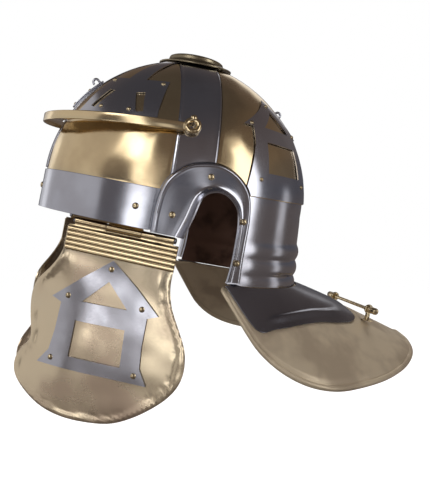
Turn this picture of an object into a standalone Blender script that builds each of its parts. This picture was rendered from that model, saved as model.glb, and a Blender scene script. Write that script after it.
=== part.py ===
"""Roman legionary helmet: a steel skull with brass panels, guards, a neck guard and two hinged cheek guards.

Lengths are metres. Every piece is drawn in the helmet's own frame: x to the wearer's left, y to the rear,
z up, with z = 0 at the lower edge of the brow band. The empty helmet_frame then tilts it nose-up and puts
the inside of the crown, where a head carries it, at the world's origin.
"""
import math

import bmesh
import bpy
from mathutils import Matrix, Vector
from mathutils.geometry import delaunay_2d_cdt

# Stance
NOSE_UP_DEG = 11.5
CLEARANCE = 0.0005

# Skull
HALF_LENGTH = 0.1172
HALF_WIDTH = 0.0970
CROWN_HEIGHT = 0.1507
EQUATOR_HEIGHT = 0.0346
DOME_FULLNESS = 1.043
SKULL_WALL = 0.0012
BROW_HEM = 0.0004
NAPE_DROP = 0.0315
NAPE_RISE = 0.0060
NAPE_SWELL = 0.0062
NAPE_RIB_TOP = 0.0048
NAPE_RIB_PITCH = 0.0140
NAPE_RIB_DEPTH = 0.0026
NAPE_RIB_COUNT = 2.6

# Straps and panels
REAR_PANEL_BASE = 0.0408
STRAP_HALF_WIDTH = 0.0165
STRAP_THICKNESS = 0.0010
STRAP_BEAD = 0.0005
STRAP_BEAD_WIDTH = 0.0016
SIDE_STRAP_Y = -0.0070
PANEL_THICKNESS = 0.0007
PANEL_TOP_FACTOR = 0.27
PLATE_THICKNESS = 0.0009
RIVET_RADIUS = 0.0018
RIVET_HEIGHT = 0.0011
RIVET_SINK = 0.6 * PLATE_THICKNESS

# Brow band and brow guard
BAND_HEIGHT = 0.0328
BAND_THICKNESS = 0.0010
BAND_REAR_Y = -0.0320
GUARD_FRONT_HEIGHT = 0.0767
GUARD_SIDE_HEIGHT = 0.0842
GUARD_SIDE_REACH = 0.0045
GUARD_FRONT_REACH = 0.0178
GUARD_FLANGE = 0.0016
GUARD_FACE_HEIGHT = 0.0072
GUARD_FACE_THICKNESS = 0.0018
GUARD_END_DEG = 9.8
SCROLL_RADIUS = 0.0050
SCROLL_WIRE = 0.0022
SCROLL_KNOB = 0.0030

# Crest disc and crest hooks
DISC_Y = -0.0043
DISC_RADIUS = 0.0250
DISC_FLANGE_RADIUS = 0.0318
DISC_TOP = 0.0055
DISC_WALL = 0.0011
HOOK_WIRE = 0.0011
HOOK_BASE_WIDTH = 0.0060
HOOK_BASE_THICKNESS = 0.0016
HOOK_RISE = 0.0055
HOOK_FRONT_Y = -0.0815
HOOK_REAR_Y = 0.0735
HOOK_BASE_LENGTH = 0.0210

# Ear guards
EAR_CENTRE_Y = 0.0085
EAR_HALF_LENGTH = 0.0403
EAR_TOP = 0.0605
EAR_SHEET = 0.0012
EAR_BEAD_WIDTH = 0.0050
EAR_BEAD_RISE = 0.0024
EAR_FLARE = 0.0090
EAR_FLARE_WIDTH = 0.0050

# Neck guard, its steel overlay and the carrying handle
NECK_HALF_WIDTH = 0.1250
NECK_REACH = 0.2160
NECK_DROP = 0.0585
NECK_CORNER_Y = 0.0316
NECK_CORNER_Z = -0.0353
NECK_THICKNESS = 0.0013
NECK_BEAD_RADIUS = 0.0024
NECK_NAPE_DEG = 24.0
OVERLAY_THICKNESS = 0.0010
OVERLAY_SETBACK = 0.0030
HANDLE_Y = 0.1925
HANDLE_Z = -0.0350
HANDLE_HALF_SPAN = 0.0365
HANDLE_WIRE = 0.0015
EYE_RADIUS = 0.0030
EYE_WIRE = 0.0012
EYE_STEM_RADIUS = 0.0019
HANDLE_KNOB_RADIUS = 0.0027
HANDLE_KNOB_LENGTH = 0.0120

# Cheek guards
HINGE_FRONT_X = 0.0600
HINGE_FRONT_Y = -0.0860
HINGE_REAR_X = 0.0945
HINGE_REAR_Y = -0.0105
HINGE_Z = -0.0045
HINGE_PIN_RADIUS = 0.0012
HINGE_PLAY = 0.0005
HINGE_SHEET = 0.0011
HINGE_LEAF_TOP = 0.0240
HINGE_MIDDLE_SHARE = 0.35
RIB_BAND_HEIGHT = 0.0240
RIB_BAND_OVERHANG = 0.0045
RIB_COUNT = 5
RIB_DEPTH = 0.0006
CHEEK_THICKNESS = 0.0011
CHEEK_BEAD = 0.0011
CHEEK_BEAD_WIDTH = 0.0042
CHEEK_HALF_LENGTH = 0.0660
CHEEK_HEIGHT = 0.1642
CHEEK_FRONT_TUCK = 0.0140
CHEEK_REAR_FLARE = 0.0050
CHEEK_CHIN_TUCK = 0.0100
CHEEK_LEAN_DEG = 2.5
CHEEK_TOP_GAP = 0.0048

# How finely the curved pieces are faceted
SKULL_COLUMNS = 40
SKULL_ROWS = 8
SHEET_STEP = 0.0150

# Rear temple plates: share of the half span in degrees, and share of the height from base to apex
TEMPLE_CENTRE_DEG = 41.2
TEMPLE_HALF_DEG = 24.0
TEMPLE_BASE_Z = 0.0412
TEMPLE_APEX_Z = 0.1240
TEMPLE_HALF_OUTLINE = (
    # across, up
    (0.00, 1.00), (0.46, 0.86), (1.00, 0.68), (0.77, 0.675), (0.78, 0.50), (0.86, 0.28), (0.96, 0.00))
TEMPLE_PEDIMENT = (
    # across, up
    (0.00, 0.885), (0.46, 0.69), (-0.46, 0.69))
TEMPLE_WINDOW = (
    # across, up
    (-0.48, 0.545), (0.48, 0.545), (0.50, 0.24), (-0.50, 0.24))
TEMPLE_RIVETS = (
    # across, up
    (0.00, 0.94), (0.80, 0.705), (-0.80, 0.705), (0.66, 0.17), (-0.66, 0.17))

# Front plates: a shouldered front with two openings and a spire that runs up to the crest disc
FRONT_CENTRE_DEG = -45.0
FRONT_HALF_DEG = 22.7
FRONT_BASE_Z = 0.0845
FRONT_APEX_Z = 0.1430
FRONT_HALF_OUTLINE = (
    # across, up
    (0.28, 1.00), (0.28, 0.56), (0.92, 0.58), (0.97, 0.12), (1.00, 0.00))
FRONT_OPENING = (
    # across, up
    (0.30, 0.34), (0.51, 0.36), (0.68, 0.08), (0.53, 0.06))
FRONT_RIVETS = (
    # across, up
    (0.79, 0.53), (-0.79, 0.53), (0.36, 0.085), (-0.36, 0.085))

# Ear guard: shares of its half length about its centre, and of its top height, for both edges of the strip
EAR_STATIONS = (
    # outer along, outer up, inner along, inner up
    (-0.98, -0.016, -0.40, -0.016), (-0.985, 0.25, -0.29, 0.25), (-0.945, 0.53, -0.21, 0.49),
    (-0.80, 0.74, -0.14, 0.57), (-0.51, 0.915, -0.05, 0.62), (-0.16, 0.99, 0.09, 0.65),
    (0.14, 1.00, 0.23, 0.647), (0.44, 0.94, 0.37, 0.61), (0.70, 0.82, 0.50, 0.545),
    (0.87, 0.65, 0.605, 0.45), (0.955, 0.395, 0.665, 0.285), (0.975, 0.11, 0.685, 0.065),
    (0.99, -0.20, 0.69, -0.22), (1.02, -0.465, 0.66, -0.475))
EAR_RIVETS = (1, 5, 10, 12)

# Neck guard's rim, half of it, from the middle of the back to the corner behind the ear
NECK_RIM = (
    # across: share of half width; back: share of the reach; down: share of the drop
    (0.000, 1.000, 0.365), (0.210, 0.985, 0.420), (0.415, 0.945, 0.530), (0.600, 0.860, 0.680),
    (0.765, 0.735, 0.830), (0.895, 0.592, 0.945), (0.970, 0.480, 1.000), (1.000, 0.368, 0.980),
    (0.975, 0.268, 0.880), (0.930, 0.182, 0.705), (0.885, 0.120, 0.490), (0.815, 0.000, 0.000))
OVERLAY_EDGE = (
    # across: share along half the rim, from the middle of the back; reach: share of the way to the rim
    (0.00, 0.42), (0.10, 0.44), (0.19, 0.53), (0.26, 0.54), (0.33, 0.50), (0.45, 0.44), (0.60, 0.46),
    (0.74, 0.60), (0.84, 0.84), (1.00, 0.94))

# Cheek guard outline: along is a share of its half length, down a share of its height
CHEEK_OUTLINE = (
    # along, down
    (-0.66, 0.00), (-0.66, 0.12), (-0.69, 0.17), (-0.785, 0.25), (-0.905, 0.325), (-0.93, 0.415), (-0.90, 0.51),
    (-0.845, 0.605), (-0.85, 0.655), (-0.95, 0.72), (-0.99, 0.795), (-0.96, 0.86), (-0.86, 0.91), (-0.67, 0.965),
    (-0.45, 0.995), (-0.155, 1.00), (0.16, 0.98), (0.365, 0.95), (0.595, 0.875), (0.805, 0.775), (0.93, 0.68),
    (0.965, 0.595), (0.935, 0.495), (0.865, 0.43), (0.76, 0.35), (0.68, 0.285), (0.63, 0.20), (0.625, 0.15),
    (0.625, 0.00))
CHEEK_TEMPLE_HALF = 0.0430
CHEEK_TEMPLE_TOP = 0.0250
CHEEK_TEMPLE_HEIGHT = 0.0960
CHEEK_TEMPLE_ALONG = -0.0038
CHEEK_TEMPLE_TILT = 0.055
CHEEK_TEMPLE_HALF_OUTLINE = (
    # across, down
    (0.00, 0.00), (0.49, 0.19), (0.95, 0.395), (0.77, 0.43), (0.785, 0.68), (0.83, 0.865), (1.00, 1.00))
CHEEK_PEDIMENT = (
    # across, down
    (0.00, 0.18), (0.41, 0.39), (-0.41, 0.39))
CHEEK_WINDOW = (
    # across, down
    (-0.46, 0.56), (0.44, 0.56), (0.49, 0.885), (-0.46, 0.885))
CHEEK_RIVETS = (
    # across, down
    (0.00, 0.075), (0.66, 0.36), (-0.66, 0.36), (0.76, 0.93), (-0.76, 0.93))

FLAT_UNIT = 0.0018


def clear_scene():
    for item in list(bpy.data.objects):
        bpy.data.objects.remove(item, do_unlink=True)


def make_material(name, colour, roughness):
    material = bpy.data.materials.new(name)
    material.use_nodes = True
    shader = material.node_tree.nodes["Principled BSDF"]
    shader.inputs["Base Color"].default_value = (*colour, 1.0)
    shader.inputs["Metallic"].default_value = 1.0
    shader.inputs["Roughness"].default_value = roughness
    return material


class Builder:
    """Holds the frame empties and the materials while the pieces are made."""

    def __init__(self):
        self.steel = make_material("steel", (0.42, 0.43, 0.46), 0.25)
        self.brass = make_material("brass", (0.62, 0.47, 0.20), 0.25)
        self.seat = Vector((0.0, 0.0, CROWN_HEIGHT - SKULL_WALL))
        tilt = Matrix.Rotation(math.radians(-NOSE_UP_DEG), 4, "X")
        self.frame = bpy.data.objects.new("helmet_frame", None)
        self.frame.rotation_euler = tilt.to_euler()
        self.frame.location = -(tilt @ self.seat)
        bpy.context.collection.objects.link(self.frame)

    def empty(self, name, place):
        item = bpy.data.objects.new(name, None)
        item.location = place
        item.parent = self.frame
        bpy.context.collection.objects.link(item)
        return item

    def finish(self, name, mesh_data, material, parent=None, origin=None, cutter=False):
        bmesh.ops.recalc_face_normals(mesh_data, faces=mesh_data.faces)
        if origin is not None:
            bmesh.ops.translate(mesh_data, verts=mesh_data.verts, vec=-Vector(origin))
        mesh = bpy.data.meshes.new(name)
        mesh_data.to_mesh(mesh)
        mesh_data.free()
        mesh.materials.append(material)
        item = bpy.data.objects.new(name, mesh)
        item.parent = parent or self.frame
        bpy.context.collection.objects.link(item)
        if cutter:
            item.hide_render = True
            item.display_type = "WIRE"
        return item


def boolean(item, tool, operation):
    modifier = item.modifiers.new(operation.lower() + "_" + tool.name, "BOOLEAN")
    modifier.operation = operation
    modifier.solver = "EXACT"
    modifier.object = tool


def smooth_step(value):
    value = min(max(value, 0.0), 1.0)
    return value * value * (3.0 - 2.0 * value)


def curve_through(points, per_span, closed=False):
    """Points on a Catmull-Rom curve through the given ones."""
    points = [Vector(point) for point in points]
    count = len(points)
    spans = count if closed else count - 1
    result = []
    for index in range(spans):
        if closed:
            a, b, c, d = (points[(index + step) % count] for step in (-1, 0, 1, 2))
        else:
            b, c = points[index], points[index + 1]
            a = points[index - 1] if index > 0 else b * 2.0 - c
            d = points[index + 2] if index + 2 < count else c * 2.0 - b
        for step in range(per_span):
            t = step / per_span
            result.append(0.5 * (2.0 * b + (c - a) * t + (2.0 * a - 5.0 * b + 4.0 * c - d) * t ** 2
                                 + (3.0 * b - a - 3.0 * c + d) * t ** 3))
    if not closed:
        result.append(points[-1])
    return result


def table_value(table, position, column=1):
    """Straight-line reading of a table whose first column rises."""
    for low, high in zip(table, table[1:]):
        if position <= high[0]:
            share = (position - low[0]) / (high[0] - low[0])
            return low[column] + (high[column] - low[column]) * max(share, 0.0)
    return table[-1][column]


# Surfaces of the skull

def plan_factor(height):
    """How much of the full plan size the dome has at this height."""
    level = (height - EQUATOR_HEIGHT) / (CROWN_HEIGHT - EQUATOR_HEIGHT)
    if level <= 0.0:
        return 1.0
    return max(1.0 - level * level, 0.0) ** (DOME_FULLNESS / 2.0)


def rise_of(height):
    """Length up the dome's middle line from the equator, near enough; below it, the plain height."""
    span = CROWN_HEIGHT - EQUATOR_HEIGHT
    level = min((height - EQUATOR_HEIGHT) / span, 1.0)
    return span * (math.asin(level) if level > 0.0 else level)


def height_of(rise):
    span = CROWN_HEIGHT - EQUATOR_HEIGHT
    return EQUATOR_HEIGHT + (span * math.sin(min(rise / span, 0.5 * math.pi)) if rise > 0.0 else rise)


def nape_rise(angle):
    """The nape's hem, its ribs and the rear panels' lower edge climb a little towards the middle of the back."""
    return NAPE_RISE * max(math.sin(angle), 0.0) ** 2


def nape_swell(angle, height):
    """The back flares towards the neck and has raised ribs across it."""
    back = max(math.sin(angle), 0.0)
    depth = max(EQUATOR_HEIGHT - height, 0.0) / (EQUATOR_HEIGHT + NAPE_DROP)
    swell = NAPE_SWELL * depth ** 0.8 * back ** 2
    down = (NAPE_RIB_TOP + nape_rise(angle) - height) / NAPE_RIB_PITCH
    if 0.0 < down < NAPE_RIB_COUNT:
        fade = smooth_step((back - 0.42) / 0.20)
        swell += NAPE_RIB_DEPTH * fade * (0.5 - 0.5 * math.cos(2.0 * math.pi * down))
    return swell


def skull_point(azimuth, height, lift=0.0):
    """A point above the skull's outside; azimuth is in degrees from the wearer's left towards the rear."""
    angle = math.radians(azimuth)
    factor = plan_factor(height)
    swell = nape_swell(angle, height)
    level = max((height - EQUATOR_HEIGHT) / (CROWN_HEIGHT - EQUATOR_HEIGHT), 0.0)
    return Vector((
        (HALF_WIDTH + lift) * factor * math.cos(angle),
        (HALF_LENGTH + lift + swell) * factor * math.sin(angle),
        height + lift * level))


def dome_point(x, y, lift=0.0):
    """A point above the dome at this place in plan."""
    factor = min(math.hypot(x / HALF_WIDTH, y / HALF_LENGTH), 1.0)
    level = math.sqrt(max(1.0 - factor ** (2.0 / DOME_FULLNESS), 0.0))
    height = EQUATOR_HEIGHT + (CROWN_HEIGHT - EQUATOR_HEIGHT) * level
    azimuth = math.degrees(math.atan2(y / HALF_LENGTH, x / HALF_WIDTH))
    return skull_point(azimuth, height, lift)


def wall_x(y, height, lift=0.0):
    """The x of the left wall at this y and height."""
    angle = math.asin(min(max(y / (HALF_LENGTH * plan_factor(height)), -1.0), 1.0))
    return skull_point(math.degrees(angle), height, lift).x


def mirrored(point, side):
    return Vector((point[0] * side, point[1], point[2]))


# Mesh makers

def slab(top, bottom):
    """A closed sheet between two open grids of points."""
    data = bmesh.new()
    rows, columns = len(top), len(top[0])
    upper = [[data.verts.new(point) for point in row] for row in top]
    lower = [[data.verts.new(point) for point in row] for row in bottom]
    for i in range(rows - 1):
        for j in range(columns - 1):
            data.faces.new((upper[i][j], upper[i][j + 1], upper[i + 1][j + 1], upper[i + 1][j]))
            data.faces.new((lower[i][j], lower[i + 1][j], lower[i + 1][j + 1], lower[i][j + 1]))
    border = [(0, j) for j in range(columns)] + [(i, columns - 1) for i in range(1, rows)]
    border += [(rows - 1, j) for j in range(columns - 2, -1, -1)] + [(i, 0) for i in range(rows - 2, 0, -1)]
    for (i, j), (k, m) in zip(border, border[1:] + border[:1]):
        data.faces.new((upper[i][j], lower[i][j], lower[k][m], upper[k][m]))
    return data


def loft(sections):
    """A closed solid through loops with equal numbers of points."""
    data = bmesh.new()
    loops = [[data.verts.new(point) for point in section] for section in sections]
    for first, second in zip(loops, loops[1:]):
        for i in range(len(first)):
            j = (i + 1) % len(first)
            data.faces.new((first[i], first[j], second[j], second[i]))
    data.faces.new(loops[0])
    data.faces.new(loops[-1])
    return data


def revolve(profile, steps, place):
    """A closed solid of revolution; profile is (radius, height), starting and ending on the axis."""
    data = bmesh.new()
    rings = []
    for radius, height in profile:
        if radius == 0.0:
            rings.append([data.verts.new(place(0.0, 0.0, height))])
        else:
            rings.append([data.verts.new(place(
                radius * math.cos(2.0 * math.pi * step / steps),
                radius * math.sin(2.0 * math.pi * step / steps), height)) for step in range(steps)])
    for first, second in zip(rings, rings[1:]):
        for i in range(steps):
            j = (i + 1) % steps
            if len(first) == 1:
                data.faces.new((first[0], second[i], second[j]))
            elif len(second) == 1:
                data.faces.new((first[i], first[j], second[0]))
            else:
                data.faces.new((first[i], first[j], second[j], second[i]))
    return data


def tube(path, radius, sides=8):
    """A round bar along a path of points."""
    path = [Vector(point) for point in path]
    sections = []
    across = None
    for index, point in enumerate(path):
        ahead = path[min(index + 1, len(path) - 1)] - path[max(index - 1, 0)]
        ahead.normalize()
        if across is None:
            across = ahead.orthogonal().normalized()
        across = (across - ahead * across.dot(ahead)).normalized()
        other = ahead.cross(across)
        sections.append([point + radius * (across * math.cos(2.0 * math.pi * step / sides)
                                           + other * math.sin(2.0 * math.pi * step / sides))
                         for step in range(sides)])
    return loft(sections)


def inside(point, loop):
    """Whether a flat point lies in a loop."""
    hit = False
    for a, b in zip(loop, loop[1:] + loop[:1]):
        if (a[1] > point[1]) != (b[1] > point[1]):
            if point[0] < a[0] + (b[0] - a[0]) * (point[1] - a[1]) / (b[1] - a[1]):
                hit = not hit
    return hit


def edge_distance(point, loops):
    best = 1.0
    for loop in loops:
        for a, b in zip(loop, loop[1:] + loop[:1]):
            run = Vector((b[0] - a[0], b[1] - a[1]))
            off = Vector((point[0] - a[0], point[1] - a[1]))
            share = min(max(off.dot(run) / max(run.length_squared, 1e-18), 0.0), 1.0)
            best = min(best, (off - run * share).length)
    return best


def cut_loop(loop, longest):
    """The same loop with its long edges split, so that it can bend with the surface."""
    result = []
    for a, b in zip(loop, loop[1:] + loop[:1]):
        pieces = max(int(math.ceil((Vector(b) - Vector(a)).length / longest)), 1)
        result += [Vector(a).lerp(Vector(b), step / pieces) for step in range(pieces)]
    return result


def inset_points(loop, distance):
    """Points inside a loop, at this distance from it."""
    result = []
    for a, b, c in zip(loop[-1:] + loop[:-1], loop, loop[1:] + loop[:1]):
        run = (Vector(c) - Vector(a)).normalized()
        for normal in (Vector((-run.y, run.x)), Vector((run.y, -run.x))):
            point = Vector(b) + normal * distance
            if inside(point, loop) and edge_distance(point, [loop]) > 0.9 * distance:
                result.append(point)
                break
    return result


def cut_sheet(outline, holes, place, top_lift, bottom_lift, step, rings=()):
    """Sheet metal cut to a flat outline with holes, then laid on a curved surface by place(u, v, lift)."""
    outline = cut_loop(outline, step)
    holes = [cut_loop(hole, step) for hole in holes]
    loops = [outline] + holes
    points, edges = [], []
    for loop in loops:
        start = len(points)
        points += loop
        edges += [(start + i, start + (i + 1) % len(loop)) for i in range(len(loop))]
    for distance in rings:
        points += inset_points(outline, distance)
    reach = max(list(rings) + [0.0]) + 0.45 * step
    low = [min(point[axis] for point in outline) for axis in (0, 1)]
    high = [max(point[axis] for point in outline) for axis in (0, 1)]
    for i in range(int((high[0] - low[0]) / step) + 1):
        for j in range(int((high[1] - low[1]) / step) + 1):
            point = Vector((low[0] + (i + 0.5 * (j % 2)) * step, low[1] + j * step))
            if inside(point, outline) and not any(inside(point, hole) for hole in holes):
                if edge_distance(point, [outline]) > reach and edge_distance(point, loops) > 0.45 * step:
                    points.append(point)
    flat = delaunay_2d_cdt([point.to_2d() for point in points], edges, [], 1, 1e-7)
    corners, faces = flat[0], flat[2]
    faces = [face for face in faces if not any(
        inside(sum((corners[i] for i in face), Vector((0.0, 0.0))) / len(face), hole) for hole in holes)]
    used = sorted({index for face in faces for index in face})
    data = bmesh.new()
    depth = {index: edge_distance(corners[index], [outline]) for index in used}
    upper = {index: data.verts.new(place(*corners[index], top_lift(depth[index]))) for index in used}
    lower = {index: data.verts.new(place(*corners[index], bottom_lift(depth[index]))) for index in used}
    seen = {}
    for face in faces:
        data.faces.new([upper[index] for index in face])
        data.faces.new([lower[index] for index in reversed(face)])
        for a, b in zip(face, face[1:] + face[:1]):
            key = (min(a, b), max(a, b))
            seen[key] = None if key in seen else (a, b)
    for pair in seen.values():
        if pair is not None:
            a, b = pair
            data.faces.new((upper[a], lower[a], lower[b], upper[b]))
    return data


def add_rivets(builder, name, places, item, parent=None, origin=None):
    """Joins round rivet heads to a piece; places are (point, outward direction)."""
    heads = bmesh.new()
    for point, outward in places:
        outward = Vector(outward).normalized()
        across = outward.orthogonal().normalized()
        other = outward.cross(across)

        def spot(u, v, w):
            return point + across * u + other * v + outward * w

        head = revolve(((0.0, -RIVET_SINK), (RIVET_RADIUS, -RIVET_SINK), (0.9 * RIVET_RADIUS, 0.6 * RIVET_HEIGHT),
                        (0.0, RIVET_HEIGHT)), 6, spot)
        mesh = bpy.data.meshes.new("head")
        head.to_mesh(mesh)
        head.free()
        heads.from_mesh(mesh)
        bpy.data.meshes.remove(mesh)
    tool = builder.finish(name + "_heads", heads, builder.brass, parent=parent, origin=origin, cutter=True)
    boolean(item, tool, "UNION")


def ribbon(path, thickness):
    """A closed loop around a flat path, half the thickness to each side."""
    path = [Vector(point) for point in path]
    left, right = [], []
    for index, point in enumerate(path):
        before = path[max(index - 1, 0)]
        after = path[min(index + 1, len(path) - 1)]
        run = (after - before).normalized()
        normal = Vector((-run.y, run.x)) * 0.5 * thickness
        left.append(point + normal)
        right.append(point - normal)
    return left + right[::-1]


def whole_outline(half):
    """Both halves of a symmetric outline, whose first point may lie on the middle line."""
    other = [(-across, up) for across, up in reversed(half) if across > 0.0]
    return list(half) + other


# Pieces of the skull

def ear_edge(column, widen=0.0, per_span=1):
    """One edge of the ear guard's strip as (y, z), grown outwards by widen."""
    rows = [Vector((EAR_CENTRE_Y + row[column] * EAR_HALF_LENGTH, row[column + 1] * EAR_TOP))
            for row in EAR_STATIONS]
    other = [Vector((EAR_CENTRE_Y + row[2 - column] * EAR_HALF_LENGTH, row[3 - column] * EAR_TOP))
             for row in EAR_STATIONS]
    sign = 1.0 if column == 0 else -1.0
    moved = [point + sign * (point - away).normalized() * widen for point, away in zip(rows, other)]
    return curve_through(moved, per_span)


def ear_prism(builder, name, column, widen):
    """A cutter with the ear opening's shape, right across the helmet."""
    edge = ear_edge(column, widen)
    depth = 0.06
    profile = [Vector((edge[0].x, edge[0].y - depth))] + edge + [Vector((edge[-1].x, edge[-1].y - depth))]
    reach = HALF_WIDTH + 0.05
    sections = [[Vector((x, point.x, point.y)) for point in profile] for x in (-reach, reach)]
    return builder.finish(name, loft(sections), builder.steel, cutter=True)


def skull(builder, opening):
    """The steel bowl: brow hem in front, nape behind, open underneath and at the ears."""
    front_edge = math.radians(2.0)

    def hem(azimuth):
        angle = math.radians(azimuth)
        share = smooth_step((math.sin(angle) - math.sin(front_edge)) / 0.22)
        return BROW_HEM + (nape_rise(angle) - NAPE_DROP - BROW_HEM) * share

    rib_share = (NAPE_RIB_TOP + NAPE_DROP) / (EQUATOR_HEIGHT + NAPE_DROP)
    half_ribs = int(2.0 * NAPE_RIB_COUNT)
    levels = [0.0] + [rib_share * (1.0 - (half_ribs - k) / (2.0 * NAPE_RIB_COUNT)) for k in range(half_ribs)]
    levels += [rib_share + (1.0 - rib_share) * k / 2.0 for k in range(2)]

    def grid(lift):
        rows = []
        for row in range(SKULL_ROWS + len(levels)):
            ring = []
            for column in range(SKULL_COLUMNS):
                azimuth = 360.0 * column / SKULL_COLUMNS
                low = hem(azimuth)
                if row < len(levels):
                    height = low + (EQUATOR_HEIGHT - low) * levels[row]
                else:
                    turn = 0.5 * math.pi * (row - len(levels)) / SKULL_ROWS
                    height = EQUATOR_HEIGHT + (CROWN_HEIGHT - EQUATOR_HEIGHT) * math.sin(turn)
                ring.append(skull_point(azimuth, height, lift))
            rows.append(ring)
        return rows

    data = bmesh.new()
    outer = [[data.verts.new(point) for point in ring] for ring in grid(0.0)]
    inner = [[data.verts.new(point) for point in ring] for ring in grid(-SKULL_WALL)]
    for rings, lift in ((outer, 0.0), (inner, -SKULL_WALL)):
        for first, second in zip(rings, rings[1:]):
            for i in range(SKULL_COLUMNS):
                j = (i + 1) % SKULL_COLUMNS
                data.faces.new((first[i], first[j], second[j], second[i]))
        pole = data.verts.new(skull_point(0.0, CROWN_HEIGHT, lift))
        for i in range(SKULL_COLUMNS):
            data.faces.new((rings[-1][i], rings[-1][(i + 1) % SKULL_COLUMNS], pole))
    for i in range(SKULL_COLUMNS):
        j = (i + 1) % SKULL_COLUMNS
        data.faces.new((outer[0][i], inner[0][i], inner[0][j], outer[0][j]))
    item = builder.finish("skull", data, builder.steel)
    boolean(item, opening, "DIFFERENCE")
    return item


def brow_band(builder):
    """The steel band round the brow, from ear guard to ear guard, with one rivet over each hinge."""
    lift = CLEARANCE
    start = math.degrees(math.asin(BAND_REAR_Y / HALF_LENGTH))
    columns = 30
    grids = []
    for level in (lift + BAND_THICKNESS, lift):
        grids.append([[skull_point(start + (-180.0 - 2.0 * start) * i / columns, height, level)
                       for i in range(columns + 1)] for height in (0.0, BAND_HEIGHT)])
    item = builder.finish("brow_band", slab(*grids), builder.steel)
    places = []
    middle_y = 0.5 * (HINGE_FRONT_Y + HINGE_REAR_Y) + 0.0035
    for side in (1, -1):
        height = 0.5 * BAND_HEIGHT
        x = wall_x(middle_y, height, lift + BAND_THICKNESS)
        outward = (side * x / HALF_WIDTH ** 2, middle_y / HALF_LENGTH ** 2, 0.0)
        places.append((Vector((x * side, middle_y, height)), outward))
    add_rivets(builder, "brow_band", places, item)
    return item


def strap_lift(offset):
    """The straps have a low bead along both edges."""
    edge = STRAP_HALF_WIDTH - abs(offset)
    return STRAP_THICKNESS + (STRAP_BEAD if edge < 0.5 * STRAP_BEAD_WIDTH else 0.0)


STRAP_OFFSETS = (-1.0, -1.0 + STRAP_BEAD_WIDTH / STRAP_HALF_WIDTH, -0.35, 0.35,
                 1.0 - STRAP_BEAD_WIDTH / STRAP_HALF_WIDTH, 1.0)


def crest_strap(builder):
    """The strap from brow band to nape over the crown."""
    steps = 30
    grids = []
    for is_top in (True, False):
        rows = []
        for share in STRAP_OFFSETS:
            x = share * STRAP_HALF_WIDTH
            reach = HALF_LENGTH * math.sqrt(1.0 - (x / HALF_WIDTH) ** 2)
            lift = CLEARANCE + (strap_lift(x) if is_top else 0.0)
            end = plan_factor(REAR_PANEL_BASE + NAPE_RISE)
            tail = math.acos(-math.sqrt(max(end ** 2 - (x / HALF_WIDTH) ** 2, 0.0)) * HALF_LENGTH / reach)
            rows.append([dome_point(x, -reach * math.cos(tail * i / steps), lift) for i in range(steps + 1)])
        grids.append(rows)
    return builder.finish("crest_strap", slab(*grids), builder.steel)


def side_strap(builder, side, name, trim):
    """The strap from the crest strap down to the ear guard."""
    steps = 10
    start_x = STRAP_HALF_WIDTH + 1.3 * CLEARANCE
    grids = []
    for is_top in (True, False):
        rows = []
        for share in STRAP_OFFSETS:
            offset = share * STRAP_HALF_WIDTH
            y = SIDE_STRAP_Y + offset
            reach = HALF_WIDTH * math.sqrt(1.0 - (y / HALF_LENGTH) ** 2)
            first = math.asin(start_x / reach)
            lift = CLEARANCE + (strap_lift(offset) if is_top else 0.0)
            row = []
            for i in range(steps + 1):
                x = reach * math.sin(first + (0.5 * math.pi - first) * i / steps)
                row.append(mirrored(dome_point(x, y, lift), side))
            rows.append(row)
        grids.append(rows)
    item = builder.finish(name, slab(*grids), builder.steel)
    boolean(item, trim, "DIFFERENCE")
    return item


def quarter_panel(builder, side, front, name, trim):
    """A brass panel that fills one quarter between the straps."""
    rows_count, columns = 9, 9
    top_turn = math.asin(math.sqrt(1.0 - PANEL_TOP_FACTOR ** (2.0 / DOME_FULLNESS)))
    edge = STRAP_HALF_WIDTH + 1.3 * CLEARANCE
    side_edge = SIDE_STRAP_Y + (-edge if front else edge)
    grids = []
    for level in (CLEARANCE + PANEL_THICKNESS, CLEARANCE):
        rows = []
        for row in range(rows_count + 1):
            share = row / rows_count
            line = []
            for i in range(columns + 1):
                base = BAND_HEIGHT + 0.5 * CLEARANCE
                height = 0.0
                azimuth = 0.0
                for _ in range(4):
                    if not front:
                        base = REAR_PANEL_BASE + nape_rise(math.radians(azimuth))
                    low_turn = rise_of(base) / (CROWN_HEIGHT - EQUATOR_HEIGHT)
                    height = height_of((CROWN_HEIGHT - EQUATOR_HEIGHT) * (low_turn + (top_turn - low_turn) * share))
                    factor = plan_factor(height)
                    first = math.degrees(math.asin(side_edge / (HALF_LENGTH * factor)))
                    last = math.degrees(math.acos(edge / (HALF_WIDTH * factor))) * (-1.0 if front else 1.0)
                    azimuth = first + (last - first) * i / columns
                line.append(mirrored(skull_point(azimuth, height, level), side))
            rows.append(line)
        grids.append(rows)
    item = builder.finish(name, slab(*grids), builder.brass)
    boolean(item, trim, "DIFFERENCE")
    return item


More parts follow.
